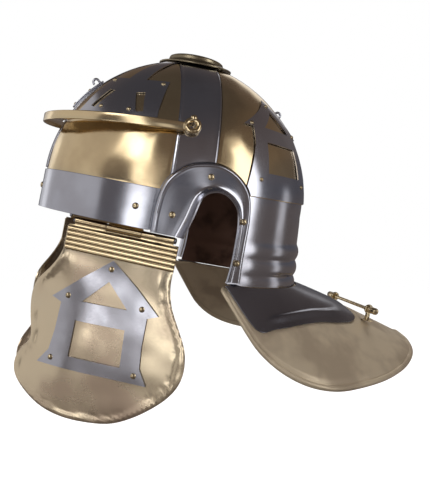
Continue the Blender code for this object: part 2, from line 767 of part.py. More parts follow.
def skull_plate(builder, side, name, centre, half, base_z, apex_z, outline, holes, rivets, trim):
    """A steel plate cut like a temple front, riveted over a brass panel."""
    lift = 2.0 * CLEARANCE + PANEL_THICKNESS

    def flat(point):
        return Vector((point[0] * half * FLAT_UNIT, rise_of(base_z + point[1] * (apex_z - base_z))))

    def place(u, v, above):
        azimuth = centre + u / FLAT_UNIT
        fade = 1.0 - smooth_step((height_of(v) - base_z) / (apex_z - base_z))
        height = height_of(v) + nape_rise(math.radians(azimuth)) * fade
        return mirrored(skull_point(azimuth, height, above), side)

    data = cut_sheet([flat(point) for point in outline], [[flat(point) for point in hole] for hole in holes],
                     place, lambda depth: lift + PLATE_THICKNESS, lambda depth: lift, SHEET_STEP)
    item = builder.finish(name, data, builder.steel)
    places = []
    for across, up in rivets:
        spot = flat((across, up))
        point = place(spot.x, spot.y, lift + PLATE_THICKNESS)
        places.append((point, place(spot.x, spot.y, lift + 0.01) - point))
    add_rivets(builder, name, places, item)
    if trim is not None:
        boolean(item, trim, "DIFFERENCE")
    return item


def brow_guard(builder):
    """The brass guard that stands out from the brow, with a scroll at each end."""
    sections = []
    steps = 26
    for step in range(steps + 1):
        azimuth = -GUARD_END_DEG - (180.0 - 2.0 * GUARD_END_DEG) * step / steps
        front = abs(math.sin(math.radians(azimuth)))
        height = GUARD_SIDE_HEIGHT + (GUARD_FRONT_HEIGHT - GUARD_SIDE_HEIGHT) * front ** 1.5
        reach = GUARD_SIDE_REACH + (GUARD_FRONT_REACH - GUARD_SIDE_REACH) * front ** 1.5
        base = skull_point(azimuth, height)
        outward = Vector((base.x / HALF_WIDTH ** 2, base.y / HALF_LENGTH ** 2, 0.0)).normalized()
        root = 2.0 * CLEARANCE + PANEL_THICKNESS + PLATE_THICKNESS + STRAP_BEAD
        half_flange, half_face = 0.5 * GUARD_FLANGE, 0.5 * GUARD_FACE_HEIGHT
        profile = ((root, -half_flange), (reach, -half_flange), (reach, -half_face),
                   (reach + GUARD_FACE_THICKNESS, -half_face), (reach + GUARD_FACE_THICKNESS, half_face),
                   (reach, half_face), (reach, half_flange), (root, half_flange))
        sections.append([base + outward * out + Vector((0.0, 0.0, up)) for out, up in profile])
    item = builder.finish("brow_guard", loft(sections), builder.brass)
    for side, end in ((1, "left"), (-1, "right")):
        base = skull_point(-GUARD_END_DEG, GUARD_SIDE_HEIGHT)
        outward = Vector((base.x / HALF_WIDTH ** 2, base.y / HALF_LENGTH ** 2, 0.35 / HALF_WIDTH)).normalized()
        centre = base + outward * (GUARD_SIDE_REACH + 0.3 * GUARD_FACE_THICKNESS) + Vector((0.0, SCROLL_RADIUS, 0.0))
        across = Vector((0.0, 0.0, 1.0)).cross(outward).normalized()
        up = outward.cross(across)
        ring = []
        for step in range(10):
            turn = 2.0 * math.pi * step / 10
            radial = across * math.cos(turn) + up * math.sin(turn)
            ring.append([mirrored(centre + radial * (SCROLL_RADIUS + SCROLL_WIRE * math.cos(small))
                                  + outward * SCROLL_WIRE * math.sin(small), side)
                         for small in (2.0 * math.pi * part / 5 for part in range(5))])
        data = bmesh.new()
        loops = [[data.verts.new(point) for point in loop] for loop in ring]
        for first, second in zip(loops, loops[1:] + loops[:1]):
            for i in range(5):
                j = (i + 1) % 5
                data.faces.new((first[i], first[j], second[j], second[i]))
        tool = builder.finish("scroll_" + end, data, builder.brass, cutter=True)
        boolean(item, tool, "UNION")
        ball = bmesh.new()
        bmesh.ops.create_icosphere(ball, subdivisions=1, radius=SCROLL_KNOB,
                                   matrix=Matrix.Translation(mirrored(centre + up * 1.25 * SCROLL_RADIUS, side)))
        tool = builder.finish("knob_" + end, ball, builder.brass, cutter=True)
        boolean(item, tool, "UNION")
    return item


def crest_disc(builder):
    """The hollow brass disc that carries a crest, its flange shaped to the dome."""
    seat = 2.2 * CLEARANCE + STRAP_THICKNESS + STRAP_BEAD + PLATE_THICKNESS
    flange = DISC_WALL
    top = CROWN_HEIGHT + DISC_TOP
    data = bmesh.new()
    steps = 24

    def on_dome(radius, lift, turn):
        return dome_point(radius * math.cos(turn), DISC_Y + radius * math.sin(turn), lift)

    def level(radius, height, turn):
        return Vector((radius * math.cos(turn), DISC_Y + radius * math.sin(turn), height))

    inner = DISC_RADIUS - DISC_WALL
    makers = (
        lambda turn: level(0.55 * DISC_RADIUS, top, turn),
        lambda turn: level(0.90 * DISC_RADIUS, top, turn),
        lambda turn: level(0.985 * DISC_RADIUS, top - 0.0013, turn),
        lambda turn: level(DISC_RADIUS, top - 0.0035, turn),
        lambda turn: on_dome(DISC_RADIUS, seat + flange, turn),
        lambda turn: on_dome(DISC_FLANGE_RADIUS, seat + flange, turn),
        lambda turn: on_dome(DISC_FLANGE_RADIUS, seat, turn),
        lambda turn: on_dome(inner, seat, turn),
        lambda turn: level(inner, top - 0.0035, turn),
        lambda turn: level(0.88 * DISC_RADIUS, top - DISC_WALL, turn))
    rings = [[data.verts.new(maker(2.0 * math.pi * step / steps)) for step in range(steps)] for maker in makers]
    for first, second in zip(rings, rings[1:]):
        for i in range(steps):
            j = (i + 1) % steps
            data.faces.new((first[i], first[j], second[j], second[i]))
    data.faces.new(rings[0])
    data.faces.new(rings[-1])
    return builder.finish("crest_disc", data, builder.brass)


def crest_hook(builder, name, y, direction):
    """A flat foot on the strap that ends in a small upturned wire hook."""
    seat = CLEARANCE * 2.0 + STRAP_THICKNESS
    grids = []
    for lift in (seat + HOOK_BASE_THICKNESS, seat):
        rows = []
        for share in (-0.5, 0.5):
            rows.append([dome_point(share * HOOK_BASE_WIDTH, y + direction * HOOK_BASE_LENGTH * i / 6.0, lift)
                         for i in range(7)])
        grids.append(rows)
    item = builder.finish(name, slab(*grids), builder.steel)
    base = dome_point(0.0, y + direction * 0.002, seat + 0.4 * HOOK_BASE_THICKNESS)
    above = dome_point(0.0, y + direction * 0.002, seat + 0.01)
    outward = (above - base).normalized()
    along = (dome_point(0.0, y + direction * 0.01, seat) - dome_point(0.0, y, seat)).normalized()
    path = [base]
    for turn in range(0, 201, 50):
        angle = math.radians(turn)
        path.append(base + outward * (HOOK_RISE - 0.0022 + 0.0026 * math.sin(angle))
                    + along * (0.0026 - 0.0026 * math.cos(angle)))
    tool = builder.finish(name + "_wire", tube(path, HOOK_WIRE, 5), builder.steel, cutter=True)
    boolean(item, tool, "UNION")
    places = []
    for share in (0.45, 0.92):
        spot = dome_point(0.0, y + direction * HOOK_BASE_LENGTH * share, seat + HOOK_BASE_THICKNESS)
        places.append((spot, dome_point(0.0, spot.y, 0.05) - dome_point(0.0, spot.y, 0.0)))
    add_rivets(builder, name, places, item)
    return item


def ear_guard(builder, side, name):
    """A steel arch round the ear: a rolled outer edge, a riveted flat and an edge that flares outwards."""
    outer = ear_edge(0)
    inner = ear_edge(2)
    sections = []
    rivet_at = []
    for index, (out, inn) in enumerate(zip(outer, inner)):
        width = (inn - out).length
        inward = (inn - out).normalized()
        flat_end = width - EAR_FLARE_WIDTH
        base = CLEARANCE + 0.5 * EAR_SHEET
        path = (
            (0.0, base), (0.40 * EAR_BEAD_WIDTH, base + EAR_BEAD_RISE),
            (EAR_BEAD_WIDTH, base + 0.7 * EAR_BEAD_RISE), (flat_end, base + 0.5 * EAR_BEAD_RISE),
            (flat_end + 0.65 * EAR_FLARE_WIDTH, base + 0.40 * EAR_FLARE),
            (flat_end + EAR_FLARE_WIDTH, base + EAR_FLARE))
        loop = []
        for across, high in ribbon(path, EAR_SHEET):
            spot = out + inward * across
            x = wall_x(spot.x, spot.y) + high
            loop.append(mirrored(Vector((x, spot.x, spot.y)), side))
        sections.append(loop)
        if index in EAR_RIVETS:
            spot = out + inward * 0.5 * (EAR_BEAD_WIDTH + flat_end)
            x = wall_x(spot.x, spot.y) + base + 0.6 * EAR_BEAD_RISE + 0.5 * EAR_SHEET
            rivet_at.append((mirrored(Vector((x, spot.x, spot.y)), side), (side, 0.0, 0.0)))
    item = builder.finish(name, loft(sections), builder.steel)
    add_rivets(builder, name, rivet_at, item)
    return item


# Neck guard

def neck_rim(share):
    """A point on the rim; share runs from -1 at the right corner over the back to 1 at the left corner."""
    half = curve_through([Vector(row) for row in NECK_RIM], 4)
    position = abs(share) * (len(half) - 1)
    index = min(int(position), len(half) - 2)
    across, back, down = half[index].lerp(half[index + 1], position - index)
    side = 1.0 if share >= 0.0 else -1.0
    return Vector((side * across * NECK_HALF_WIDTH, NECK_CORNER_Y + back * NECK_REACH,
                   NECK_CORNER_Z - down * NECK_DROP))


def neck_root(share):
    """The matching point under the skull's lower edge."""
    azimuth = 90.0 - share * (90.0 - NECK_NAPE_DEG)
    hem = nape_rise(math.radians(azimuth)) - NAPE_DROP
    point = skull_point(azimuth, hem, -0.5 * SKULL_WALL)
    point.z = hem - CLEARANCE - NECK_THICKNESS
    return point


def neck_point(share, reach, lift=0.0):
    """A point above the neck guard's underside, reach running from 0 at the skull to 1 at the rim's roll."""
    root, rim = neck_root(share), neck_rim(share)
    reach = reach * (1.0 - 2.0 * NECK_BEAD_RADIUS / (rim - root).length)
    middle = math.cos(0.5 * math.pi * share) ** 2
    fall = reach ** (1.0 + 0.15 * middle)
    return Vector((root.x + (rim.x - root.x) * reach, root.y + (rim.y - root.y) * reach,
                   root.z + (rim.z - root.z) * fall + lift))


def neck_guard(builder):
    """The broad brass plate behind the neck, with a rolled rim."""
    columns = 30
    shares = [-1.0 + 2.0 * i / columns for i in range(columns + 1)]
    top, bottom = [], []
    for reach in (0.0, 0.25, 0.5, 0.75, 1.0):
        top.append([neck_point(share, reach, NECK_THICKNESS) for share in shares])
        bottom.append([neck_point(share, reach, 0.0) for share in shares])
    turns = ((1.5, 1.0), (0.5, 1.0), (0.0, 0.05))
    for back, swell in turns:
        upper, lower = [], []
        for share in shares:
            rim = neck_rim(share)
            inward = (neck_root(share) - rim).normalized()
            middle = rim + inward * back * NECK_BEAD_RADIUS + Vector((0.0, 0.0, 0.5 * NECK_THICKNESS))
            half = 0.5 * NECK_THICKNESS + swell * (NECK_BEAD_RADIUS - 0.5 * NECK_THICKNESS)
            upper.append(middle + Vector((0.0, 0.0, half)))
            lower.append(middle - Vector((0.0, 0.0, half)))
        top.append(upper)
        bottom.append(lower)
    return builder.finish("neck_guard", slab(top, bottom), builder.brass)


def neck_overlay(builder):
    """The lobed steel plate over the front of the neck guard."""
    columns = 30
    shares = [-1.0 + 2.0 * i / columns for i in range(columns + 1)]
    grids = []
    for above in (OVERLAY_THICKNESS, 0.0):
        rows = []
        for row in range(4):
            line = []
            for share in shares:
                edge = table_value(OVERLAY_EDGE, abs(share))
                start = OVERLAY_SETBACK / (neck_rim(share) - neck_root(share)).length
                reach = start + (edge - start) * row / 3.0
                line.append(neck_point(share, reach, NECK_THICKNESS + 1.8 * CLEARANCE + above))
            rows.append(line)
        grids.append(rows)
    return builder.finish("neck_overlay", slab(*grids), builder.steel)


def neck_height(x, y):
    """The height of the neck guard's top at this place in plan, found by searching its surface."""
    best = None
    for i in range(61):
        share = i / 60.0
        root, rim = neck_root(share), neck_rim(share)
        for j in range(41):
            reach = j / 40.0
            point = root.lerp(rim, reach)
            gap = math.hypot(point.x - abs(x), point.y - y)
            if best is None or gap < best[0]:
                best = (gap, neck_point(share, reach, NECK_THICKNESS).z)
    return best[1]


def handle_eye(builder, side, name):
    """A split-pin eye on a small foot, which holds one end of the carrying handle."""
    x = side * HANDLE_HALF_SPAN
    foot = Vector((0.0060, 0.0090, 0.0010))
    floor = max(neck_height(x + i * 0.5 * foot.x, HANDLE_Y + j * 0.5 * foot.y)
                for i in (-1, 1) for j in (-1, 1)) + CLEARANCE
    data = bmesh.new()
    bmesh.ops.create_cube(data, size=1.0, matrix=Matrix.LocRotScale(
        Vector((x, HANDLE_Y, floor + 0.5 * foot.z)), None, foot))
    item = builder.finish(name, data, builder.brass)
    stem_top = HANDLE_Z - EYE_RADIUS - 0.5 * EYE_WIRE
    stem = tube([(x, HANDLE_Y, floor + 0.5 * foot.z), (x, HANDLE_Y, stem_top + 0.001)], EYE_STEM_RADIUS, 8)
    tool = builder.finish(name + "_stem", stem, builder.brass, cutter=True)
    boolean(item, tool, "UNION")
    data = bmesh.new()
    loops = []
    for step in range(10):
        turn = 2.0 * math.pi * step / 10
        radial = Vector((0.0, math.cos(turn), math.sin(turn)))
        centre = Vector((x, HANDLE_Y, HANDLE_Z))
        loops.append([data.verts.new(centre + radial * (EYE_RADIUS + EYE_WIRE * math.cos(small))
                                     + Vector((1.0, 0.0, 0.0)) * EYE_WIRE * math.sin(small))
                      for small in (2.0 * math.pi * part / 6 for part in range(6))])
    for first, second in zip(loops, loops[1:] + loops[:1]):
        for i in range(6):
            j = (i + 1) % 6
            data.faces.new((first[i], first[j], second[j], second[i]))
    tool = builder.finish(name + "_ring", data, builder.brass, cutter=True)
    boolean(item, tool, "UNION")
    return item


def carrying_handle(builder):
    """The bar between the two eyes, with a thick end outside each."""
    inner = HANDLE_HALF_SPAN + EYE_WIRE + CLEARANCE
    outer = inner + HANDLE_KNOB_LENGTH
    half = ((0.0, outer), (0.7 * HANDLE_KNOB_RADIUS, outer), (HANDLE_KNOB_RADIUS, outer - 0.0015),
            (HANDLE_KNOB_RADIUS, inner + 0.0005), (HANDLE_WIRE, inner), (HANDLE_WIRE, 0.0))
    profile = list(half) + [(radius, -along) for radius, along in reversed(half[:-1])]

    def place(u, v, along):
        return Vector((along, HANDLE_Y + u, HANDLE_Z + v))

    return builder.finish("carrying_handle", revolve(profile, 10, place), builder.brass)


# Cheek guards

def hinge_frame(side):
    """The hinge's middle, its direction towards the rear, and the outward direction across it."""
    front = Vector((HINGE_FRONT_X * side, HINGE_FRONT_Y, HINGE_Z))
    rear = Vector((HINGE_REAR_X * side, HINGE_REAR_Y, HINGE_Z))
    along = (rear - front).normalized()
    outward = along.cross(Vector((0.0, 0.0, 1.0))) * side
    return 0.5 * (front + rear), along, outward.normalized(), (rear - front).length


def cheek_sweep(along, down):
    """How far the cheek guard's sheet departs from the hinge's plane, outwards being positive."""
    settle = smooth_step((down - RIB_BAND_HEIGHT) / 0.035)
    front = max(-along - 0.10 * CHEEK_HALF_LENGTH, 0.0) / (0.9 * CHEEK_HALF_LENGTH)
    rear = max(along - 0.30 * CHEEK_HALF_LENGTH, 0.0) / (0.7 * CHEEK_HALF_LENGTH)
    chin = max(down - RIB_BAND_HEIGHT, 0.0) / (CHEEK_HEIGHT - RIB_BAND_HEIGHT)
    return settle * (CHEEK_REAR_FLARE * rear ** 2 - CHEEK_FRONT_TUCK * front ** 2) - CHEEK_CHIN_TUCK * chin ** 1.6


def cheek_point(side, u, v, lift):
    """A point above the cheek guard's inside; u is measured along the helmet and v downwards."""
    middle, along, outward, length = hinge_frame(side)
    out = cheek_sweep(u, v) + lift
    lean = math.radians(CHEEK_LEAN_DEG)
    swing = out * math.cos(lean) - v * math.sin(lean)
    drop = out * math.sin(lean) + v * math.cos(lean)
    run = (u - outward.y * swing) / along.y
    return middle + along * run + outward * swing + Vector((0.0, 0.0, -drop))


def cheek_outline():
    """The cheek guard's outline: straight where the hinge band covers it, curved round the rest."""
    points = [Vector((along * CHEEK_HALF_LENGTH, CHEEK_TOP_GAP + down * (CHEEK_HEIGHT - CHEEK_TOP_GAP)))
              for along, down in CHEEK_OUTLINE]
    return [points[0]] + curve_through(points[1:-1], 2) + [points[-1]]


def cheek_guard(builder, side, name, pivot, origin):
    """The brass cheek plate with its rolled edge."""
    base = 0.0

    def swell(depth):
        share = (depth - 0.5 * CHEEK_BEAD_WIDTH) / (0.5 * CHEEK_BEAD_WIDTH)
        return CHEEK_BEAD * math.sqrt(max(1.0 - share * share, 0.0)) if depth < CHEEK_BEAD_WIDTH else 0.0

    def place(u, v, lift):
        fade = smooth_step((v - RIB_BAND_HEIGHT) / 0.006)
        bead = lift - base if lift > base else 0.0
        if lift > base + CHEEK_THICKNESS:
            lift = base + CHEEK_THICKNESS + (lift - base - CHEEK_THICKNESS) * fade
        elif lift < base:
            lift = base + (lift - base) * fade
        return cheek_point(side, u, v, lift)

    data = cut_sheet(cheek_outline(), [], place, lambda depth: base + CHEEK_THICKNESS + swell(depth),
                     lambda depth: base - 0.6 * swell(depth), SHEET_STEP,
                     rings=(0.5 * CHEEK_BEAD_WIDTH, CHEEK_BEAD_WIDTH))
    return builder.finish(name, data, builder.brass, parent=pivot, origin=origin)


def cheek_temple(builder, side, name, pivot, origin):
    """The steel temple plate riveted to the cheek guard."""
    lift = CHEEK_THICKNESS + CLEARANCE

    def flat(point):
        across = point[0] * CHEEK_TEMPLE_HALF
        return Vector((CHEEK_TEMPLE_ALONG + across,
                       CHEEK_TEMPLE_TOP + point[1] * CHEEK_TEMPLE_HEIGHT - CHEEK_TEMPLE_TILT * across))

    def place(u, v, above):
        return cheek_point(side, u, v, above)

    holes = [[flat(point) for point in hole] for hole in (CHEEK_PEDIMENT, CHEEK_WINDOW)]
    data = cut_sheet([flat(point) for point in whole_outline(CHEEK_TEMPLE_HALF_OUTLINE)], holes, place,
                     lambda depth: lift + PLATE_THICKNESS, lambda depth: lift, SHEET_STEP)
    item = builder.finish(name, data, builder.steel, parent=pivot, origin=origin)
    places = []
    for point in CHEEK_RIVETS:
        spot = flat(point)
        top = place(spot.x, spot.y, lift + PLATE_THICKNESS)
        places.append((top, place(spot.x, spot.y, lift + 0.01) - top))
    add_rivets(builder, name, places, item, parent=pivot, origin=origin)
    return item


def knuckle_radius():
    return HINGE_PIN_RADIUS + HINGE_PLAY + 0.5 * HINGE_SHEET


def hinge_band(builder, side, name, pivot, origin):
    """The ribbed brass band at the cheek guard's top, its upper edge curled round the pin."""
    middle, along, outward, length = hinge_frame(side)
    radius = knuckle_radius()
    path = [(radius * math.cos(math.radians(turn)), radius * math.sin(math.radians(turn)))
            for turn in range(250, -1, -25)]
    ribbed = 0.0140
    path.append((radius, -(RIB_BAND_HEIGHT - ribbed) * 0.5))
    for index in range(2 * RIB_COUNT + 1):
        down = RIB_BAND_HEIGHT - ribbed + ribbed * index / (2 * RIB_COUNT)
        path.append((radius + (RIB_DEPTH if index % 2 else 0.0), -down))
    loop = ribbon(path, HINGE_SHEET)
    half = 0.5 * length + RIB_BAND_OVERHANG
    lean = math.radians(CHEEK_LEAN_DEG)
    sections = []
    for run in (-half, half):
        section = []
        for out, up in loop:
            swing = out * math.cos(lean) + up * math.sin(lean)
            rise = -out * math.sin(lean) + up * math.cos(lean)
            section.append(middle + along * run + outward * swing + Vector((0.0, 0.0, rise)))
        sections.append(section)
    item = builder.finish(name, loft(sections), builder.brass, parent=pivot, origin=origin)
    cutter_depth = radius + 0.5 * HINGE_SHEET + HINGE_PLAY
    sides = [middle + along * run * (0.5 * HINGE_MIDDLE_SHARE * length + CLEARANCE) for run in (-1.0, 1.0)]
    box = [[corner + outward * a + Vector((0.0, 0.0, b)) for a, b in
            ((-0.006, -cutter_depth), (0.006, -cutter_depth), (0.006, 0.006), (-0.006, 0.006))]
           for corner in sides]
    tool = builder.finish(name + "_notch", loft(box), builder.brass, parent=pivot, origin=origin, cutter=True)
    boolean(item, tool, "DIFFERENCE")
    for end in (-1.0, 1.0):
        corners = [middle + along * end * (0.5 * length), middle + along * end * (0.5 * length + 0.01)]
        box = [[corner + outward * a + Vector((0.0, 0.0, b)) for a, b in
                ((-0.006, -cutter_depth), (0.006, -cutter_depth), (0.006, 0.006), (-0.006, 0.006))]
               for corner in corners]
        label = name + ("_front_end" if end < 0 else "_rear_end")
        tool = builder.finish(label, loft(box), builder.brass, parent=pivot, origin=origin, cutter=True)
        boolean(item, tool, "DIFFERENCE")
    return item


def hinge_leaf(builder, side, name):
    """The fixed leaf: curled round the pin, then bent up against the inside of the skull."""
    middle, along, outward, length = hinge_frame(side)
    radius = knuckle_radius()
    curl = [(radius * math.cos(math.radians(turn)), radius * math.sin(math.radians(turn)))
            for turn in range(70, -181, -25)]
    half = 0.5 * HINGE_MIDDLE_SHARE * length
    sections = []
    for step in range(3):
        run = -half + half * step
        foot = middle + along * run
        path = list(curl)
        for height in (0.0015, 0.0080, 0.0120, HINGE_LEAF_TOP):
            up = height - HINGE_Z
            share = smooth_step((height - 0.0005) / 0.0090)
            low, high = -radius, 0.05
            for _ in range(30):
                reach = 0.5 * (low + high)
                spot = foot + outward * reach
                size = math.hypot(spot.x / (HALF_WIDTH - SKULL_WALL), spot.y / (HALF_LENGTH - SKULL_WALL))
                if size < 1.0:
                    low = reach
                else:
                    high = reach
            wall = low - 1.4 * CLEARANCE - 0.5 * HINGE_SHEET
            path.append((-radius + (wall + radius) * share, up))
        loop = ribbon(path, HINGE_SHEET)
        sections.append([foot + outward * out + Vector((0.0, 0.0, up)) for out, up in loop])
    return builder.finish(name, loft(sections), builder.brass)


def hinge_pin(builder, side, name):
    """The pin through the knuckles, with a head at each end."""
    middle, along, outward, length = hinge_frame(side)
    inner = 0.5 * length + CLEARANCE
    outer = inner + 0.0011
    head = HINGE_PIN_RADIUS + HINGE_PLAY + 0.0007
    half = ((0.0, outer), (0.7 * head, outer), (head, outer - 0.0004), (head, inner), (HINGE_PIN_RADIUS, inner),
            (HINGE_PIN_RADIUS, 0.0))
    profile = list(half) + [(radius, -run) for radius, run in reversed(half[:-1])]

    def place(u, v, run):
        return middle + along * run + outward * u + Vector((0.0, 0.0, v))

    return builder.finish(name, revolve(profile, 8, place), builder.steel)


def main():
    clear_scene()
    builder = Builder()
    opening = ear_prism(builder, "ear_opening_cutter", 2, 0.0030)
    trim = ear_prism(builder, "ear_guard_trim", 0, 1.5 * CLEARANCE)
    skull(builder, opening)
    brow_band(builder)
    crest_strap(builder)
    front_outline = whole_outline(FRONT_HALF_OUTLINE)
    front_holes = [FRONT_OPENING, tuple((-across, up) for across, up in FRONT_OPENING)]
    temple_outline = whole_outline(TEMPLE_HALF_OUTLINE)
    for side, end in ((1, "left"), (-1, "right")):
        side_strap(builder, side, "side_strap_" + end, trim)
        quarter_panel(builder, side, True, "front_panel_" + end, trim)
        quarter_panel(builder, side, False, "rear_panel_" + end, trim)
        skull_plate(builder, side, "front_plate_" + end, FRONT_CENTRE_DEG, FRONT_HALF_DEG, FRONT_BASE_Z,
                    FRONT_APEX_Z, front_outline, front_holes, FRONT_RIVETS, None)
        skull_plate(builder, side, "temple_plate_" + end, TEMPLE_CENTRE_DEG, TEMPLE_HALF_DEG, TEMPLE_BASE_Z,
                    TEMPLE_APEX_Z, temple_outline, (TEMPLE_PEDIMENT, TEMPLE_WINDOW), TEMPLE_RIVETS, trim)
        ear_guard(builder, side, "ear_guard_" + end)
    brow_guard(builder)
    crest_disc(builder)
    crest_hook(builder, "crest_hook_front", HOOK_FRONT_Y, -1.0)
    crest_hook(builder, "crest_hook_rear", HOOK_REAR_Y, 1.0)
    neck_guard(builder)
    neck_overlay(builder)
    carrying_handle(builder)
    for side, end in ((1, "left"), (-1, "right")):
        handle_eye(builder, side, "handle_eye_" + end)
        hinge_leaf(builder, side, "hinge_leaf_" + end)
        hinge_pin(builder, side, "hinge_pin_" + end)
        middle = hinge_frame(side)[0]
        pivot = builder.empty("cheek_hinge_axis_" + end, middle)
        hinge_band(builder, side, "cheek_hinge_band_" + end, pivot, middle)
        cheek_guard(builder, side, "cheek_guard_" + end, pivot, middle)
        cheek_temple(builder, side, "cheek_temple_" + end, pivot, middle)


main()
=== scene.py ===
import math

import bmesh
import bpy
from mathutils import Matrix, Vector
from mathutils.kdtree import KDTree
from mathutils.noise import noise as smooth_noise


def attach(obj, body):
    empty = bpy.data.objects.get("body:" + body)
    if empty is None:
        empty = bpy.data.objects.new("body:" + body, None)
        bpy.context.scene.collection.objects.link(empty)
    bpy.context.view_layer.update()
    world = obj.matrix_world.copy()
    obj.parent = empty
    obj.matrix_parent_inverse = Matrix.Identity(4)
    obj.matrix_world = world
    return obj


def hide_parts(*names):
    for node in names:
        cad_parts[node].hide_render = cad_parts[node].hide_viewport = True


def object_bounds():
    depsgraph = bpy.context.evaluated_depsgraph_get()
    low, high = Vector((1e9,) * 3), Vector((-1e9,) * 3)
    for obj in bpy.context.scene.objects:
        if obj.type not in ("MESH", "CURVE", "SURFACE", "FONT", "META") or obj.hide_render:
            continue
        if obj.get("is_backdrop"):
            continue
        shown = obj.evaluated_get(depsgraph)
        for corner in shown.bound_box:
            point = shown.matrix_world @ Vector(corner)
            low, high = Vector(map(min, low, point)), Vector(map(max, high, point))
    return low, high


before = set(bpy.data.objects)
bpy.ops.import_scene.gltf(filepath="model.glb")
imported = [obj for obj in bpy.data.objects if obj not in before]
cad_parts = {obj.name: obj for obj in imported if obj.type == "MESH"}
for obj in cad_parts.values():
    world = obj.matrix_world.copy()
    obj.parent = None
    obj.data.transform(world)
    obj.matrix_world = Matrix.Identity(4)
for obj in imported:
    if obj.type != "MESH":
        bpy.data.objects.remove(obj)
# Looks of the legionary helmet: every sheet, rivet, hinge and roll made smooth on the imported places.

CAD_LOW, CAD_HIGH = (list(corner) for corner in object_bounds())

# Table, light and camera
# The helmet hangs a hand's breadth over a pale table in a soft white tent. Brighter and darker
# panels stand in the tent on all sides, which the polished metal shows back.
NOSE_UP_DEG = 11.5
SEAT_HEIGHT = 0.1495
CAMERA_DISTANCE = 0.600
CAMERA_TOWARDS_FRONT_DEG = 10.0
CAMERA_RISE_DEG = 3.78
TABLE_DROP = 0.10
TILT = Matrix.Rotation(math.radians(-NOSE_UP_DEG), 4, "X")


def in_world(point):
    """From the helmet's own frame, with z = 0 at the brow band's lower edge, to the shared frame."""
    return TILT @ (Vector(point) - Vector((0.0, 0.0, SEAT_HEIGHT)))


def direction(towards_front, rise):
    """A direction by its angle from the wearer's left towards the front, and its rise, both in degrees."""
    turn, up = math.radians(towards_front), math.radians(rise)
    return Vector((math.cos(turn) * math.cos(up), -math.sin(turn) * math.cos(up), math.sin(up)))


scene = bpy.context.scene
scene.view_settings.view_transform = "Standard"

back = direction(CAMERA_TOWARDS_FRONT_DEG, CAMERA_RISE_DEG)
camera_data = bpy.data.cameras.new("camera")
camera_data.sensor_width = 36.0
camera_data.lens = 47.82
camera_data.shift_x = 0.0967
camera_data.shift_y = -0.0315
camera_data.clip_start = 0.01
camera = bpy.data.objects.new("camera", camera_data)
camera.location = in_world((0.0, 0.0, 0.0)) + back * CAMERA_DISTANCE
camera.rotation_mode = "QUATERNION"
camera.rotation_quaternion = (-back).to_track_quat("-Z", "Y")
scene.collection.objects.link(camera)
scene.camera = camera

floor_data = bmesh.new()
bmesh.ops.create_circle(floor_data, cap_ends=True, segments=64, radius=1.6)
floor_mesh = bpy.data.meshes.new("table")
floor_data.to_mesh(floor_mesh)
floor_data.free()
floor = bpy.data.objects.new("table", floor_mesh)
floor.location = (0.0, 0.05, CAD_LOW[2] - TABLE_DROP)
scene.collection.objects.link(floor)
floor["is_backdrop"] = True

table_material = bpy.data.materials.new("table_paper")
table_material.use_nodes = True
nodes, links = table_material.node_tree.nodes, table_material.node_tree.links
paper = nodes["Principled BSDF"]
paper.inputs["Base Color"].default_value = (0.42, 0.39, 0.37, 1.0)
paper.inputs["Emission Color"].default_value = (0.95, 0.95, 0.95, 1.0)
paper.inputs["Roughness"].default_value = 0.7
place = nodes.new("ShaderNodeTexCoord")
length = nodes.new("ShaderNodeVectorMath")
length.operation = "LENGTH"
fade = nodes.new("ShaderNodeMapRange")
fade.interpolation_type = "SMOOTHSTEP"
fade.inputs["From Min"].default_value = 0.35
fade.inputs["From Max"].default_value = 1.5
fade.inputs["To Min"].default_value = 1.0
fade.inputs["To Max"].default_value = 0.0
links.new(place.outputs["Object"], length.inputs[0])
links.new(length.outputs["Value"], fade.inputs["Value"])
direct = nodes.new("ShaderNodeLightPath")
shown = nodes.new("ShaderNodeMath")
shown.operation = "MULTIPLY"
links.new(fade.outputs["Result"], shown.inputs[0])
links.new(direct.outputs["Is Camera Ray"], shown.inputs[1])
links.new(shown.outputs["Value"], paper.inputs["Alpha"])
links.new(direct.outputs["Is Camera Ray"], paper.inputs["Emission Strength"])
floor_mesh.materials.append(table_material)

TENT_PANELS = (
    # towards the front, rise, half width, half height, all in degrees, and brightness
    (29.5, 12.0, 8.0, 30.0, 1.9), (-51.0, 10.0, 10.0, 24.0, 2.0), (-15.0, 8.0, 4.0, 14.0, 0.55),
    (8.0, -2.0, 6.0, 9.0, 0.55), (106.0, 12.0, 44.0, 38.0, 0.42), (150.0, 0.0, 14.0, 20.0, 0.5),
    (-94.0, -8.0, 5.0, 10.0, 0.55), (-155.0, 24.0, 16.0, 8.0, 0.8), (50.5, -12.0, 6.0, 5.0, 2.1),
    (46.0, 40.0, 8.0, 12.0, 2.5), (40.0, -27.0, 22.0, 6.0, 0.10))
world = bpy.data.worlds.new("tent")
world.use_nodes = True
scene.world = world
nodes, links = world.node_tree.nodes, world.node_tree.links


def map_range(value, low, high, to_low=0.0, to_high=1.0):
    node = nodes.new("ShaderNodeMapRange")
    node.interpolation_type = "SMOOTHSTEP"
    for label, number in (("From Min", low), ("From Max", high), ("To Min", to_low), ("To Max", to_high)):
        node.inputs[label].default_value = number
    links.new(value, node.inputs["Value"])
    return node.outputs["Result"]


def arithmetic(operation, first, second):
    node = nodes.new("ShaderNodeMath")
    node.operation = operation
    for socket, value in ((node.inputs[0], first), (node.inputs[1], second)):
        if isinstance(value, float):
            socket.default_value = value
        else:
            links.new(value, socket)
    return node.outputs["Value"]


looking = nodes.new("ShaderNodeTexCoord").outputs["Generated"]


def share_along(axis):
    """How far the ray's direction goes along an axis."""
    node = nodes.new("ShaderNodeVectorMath")
    node.operation = "DOT_PRODUCT"
    node.inputs[1].default_value = axis
    links.new(looking, node.inputs[0])
    return node.outputs["Value"]


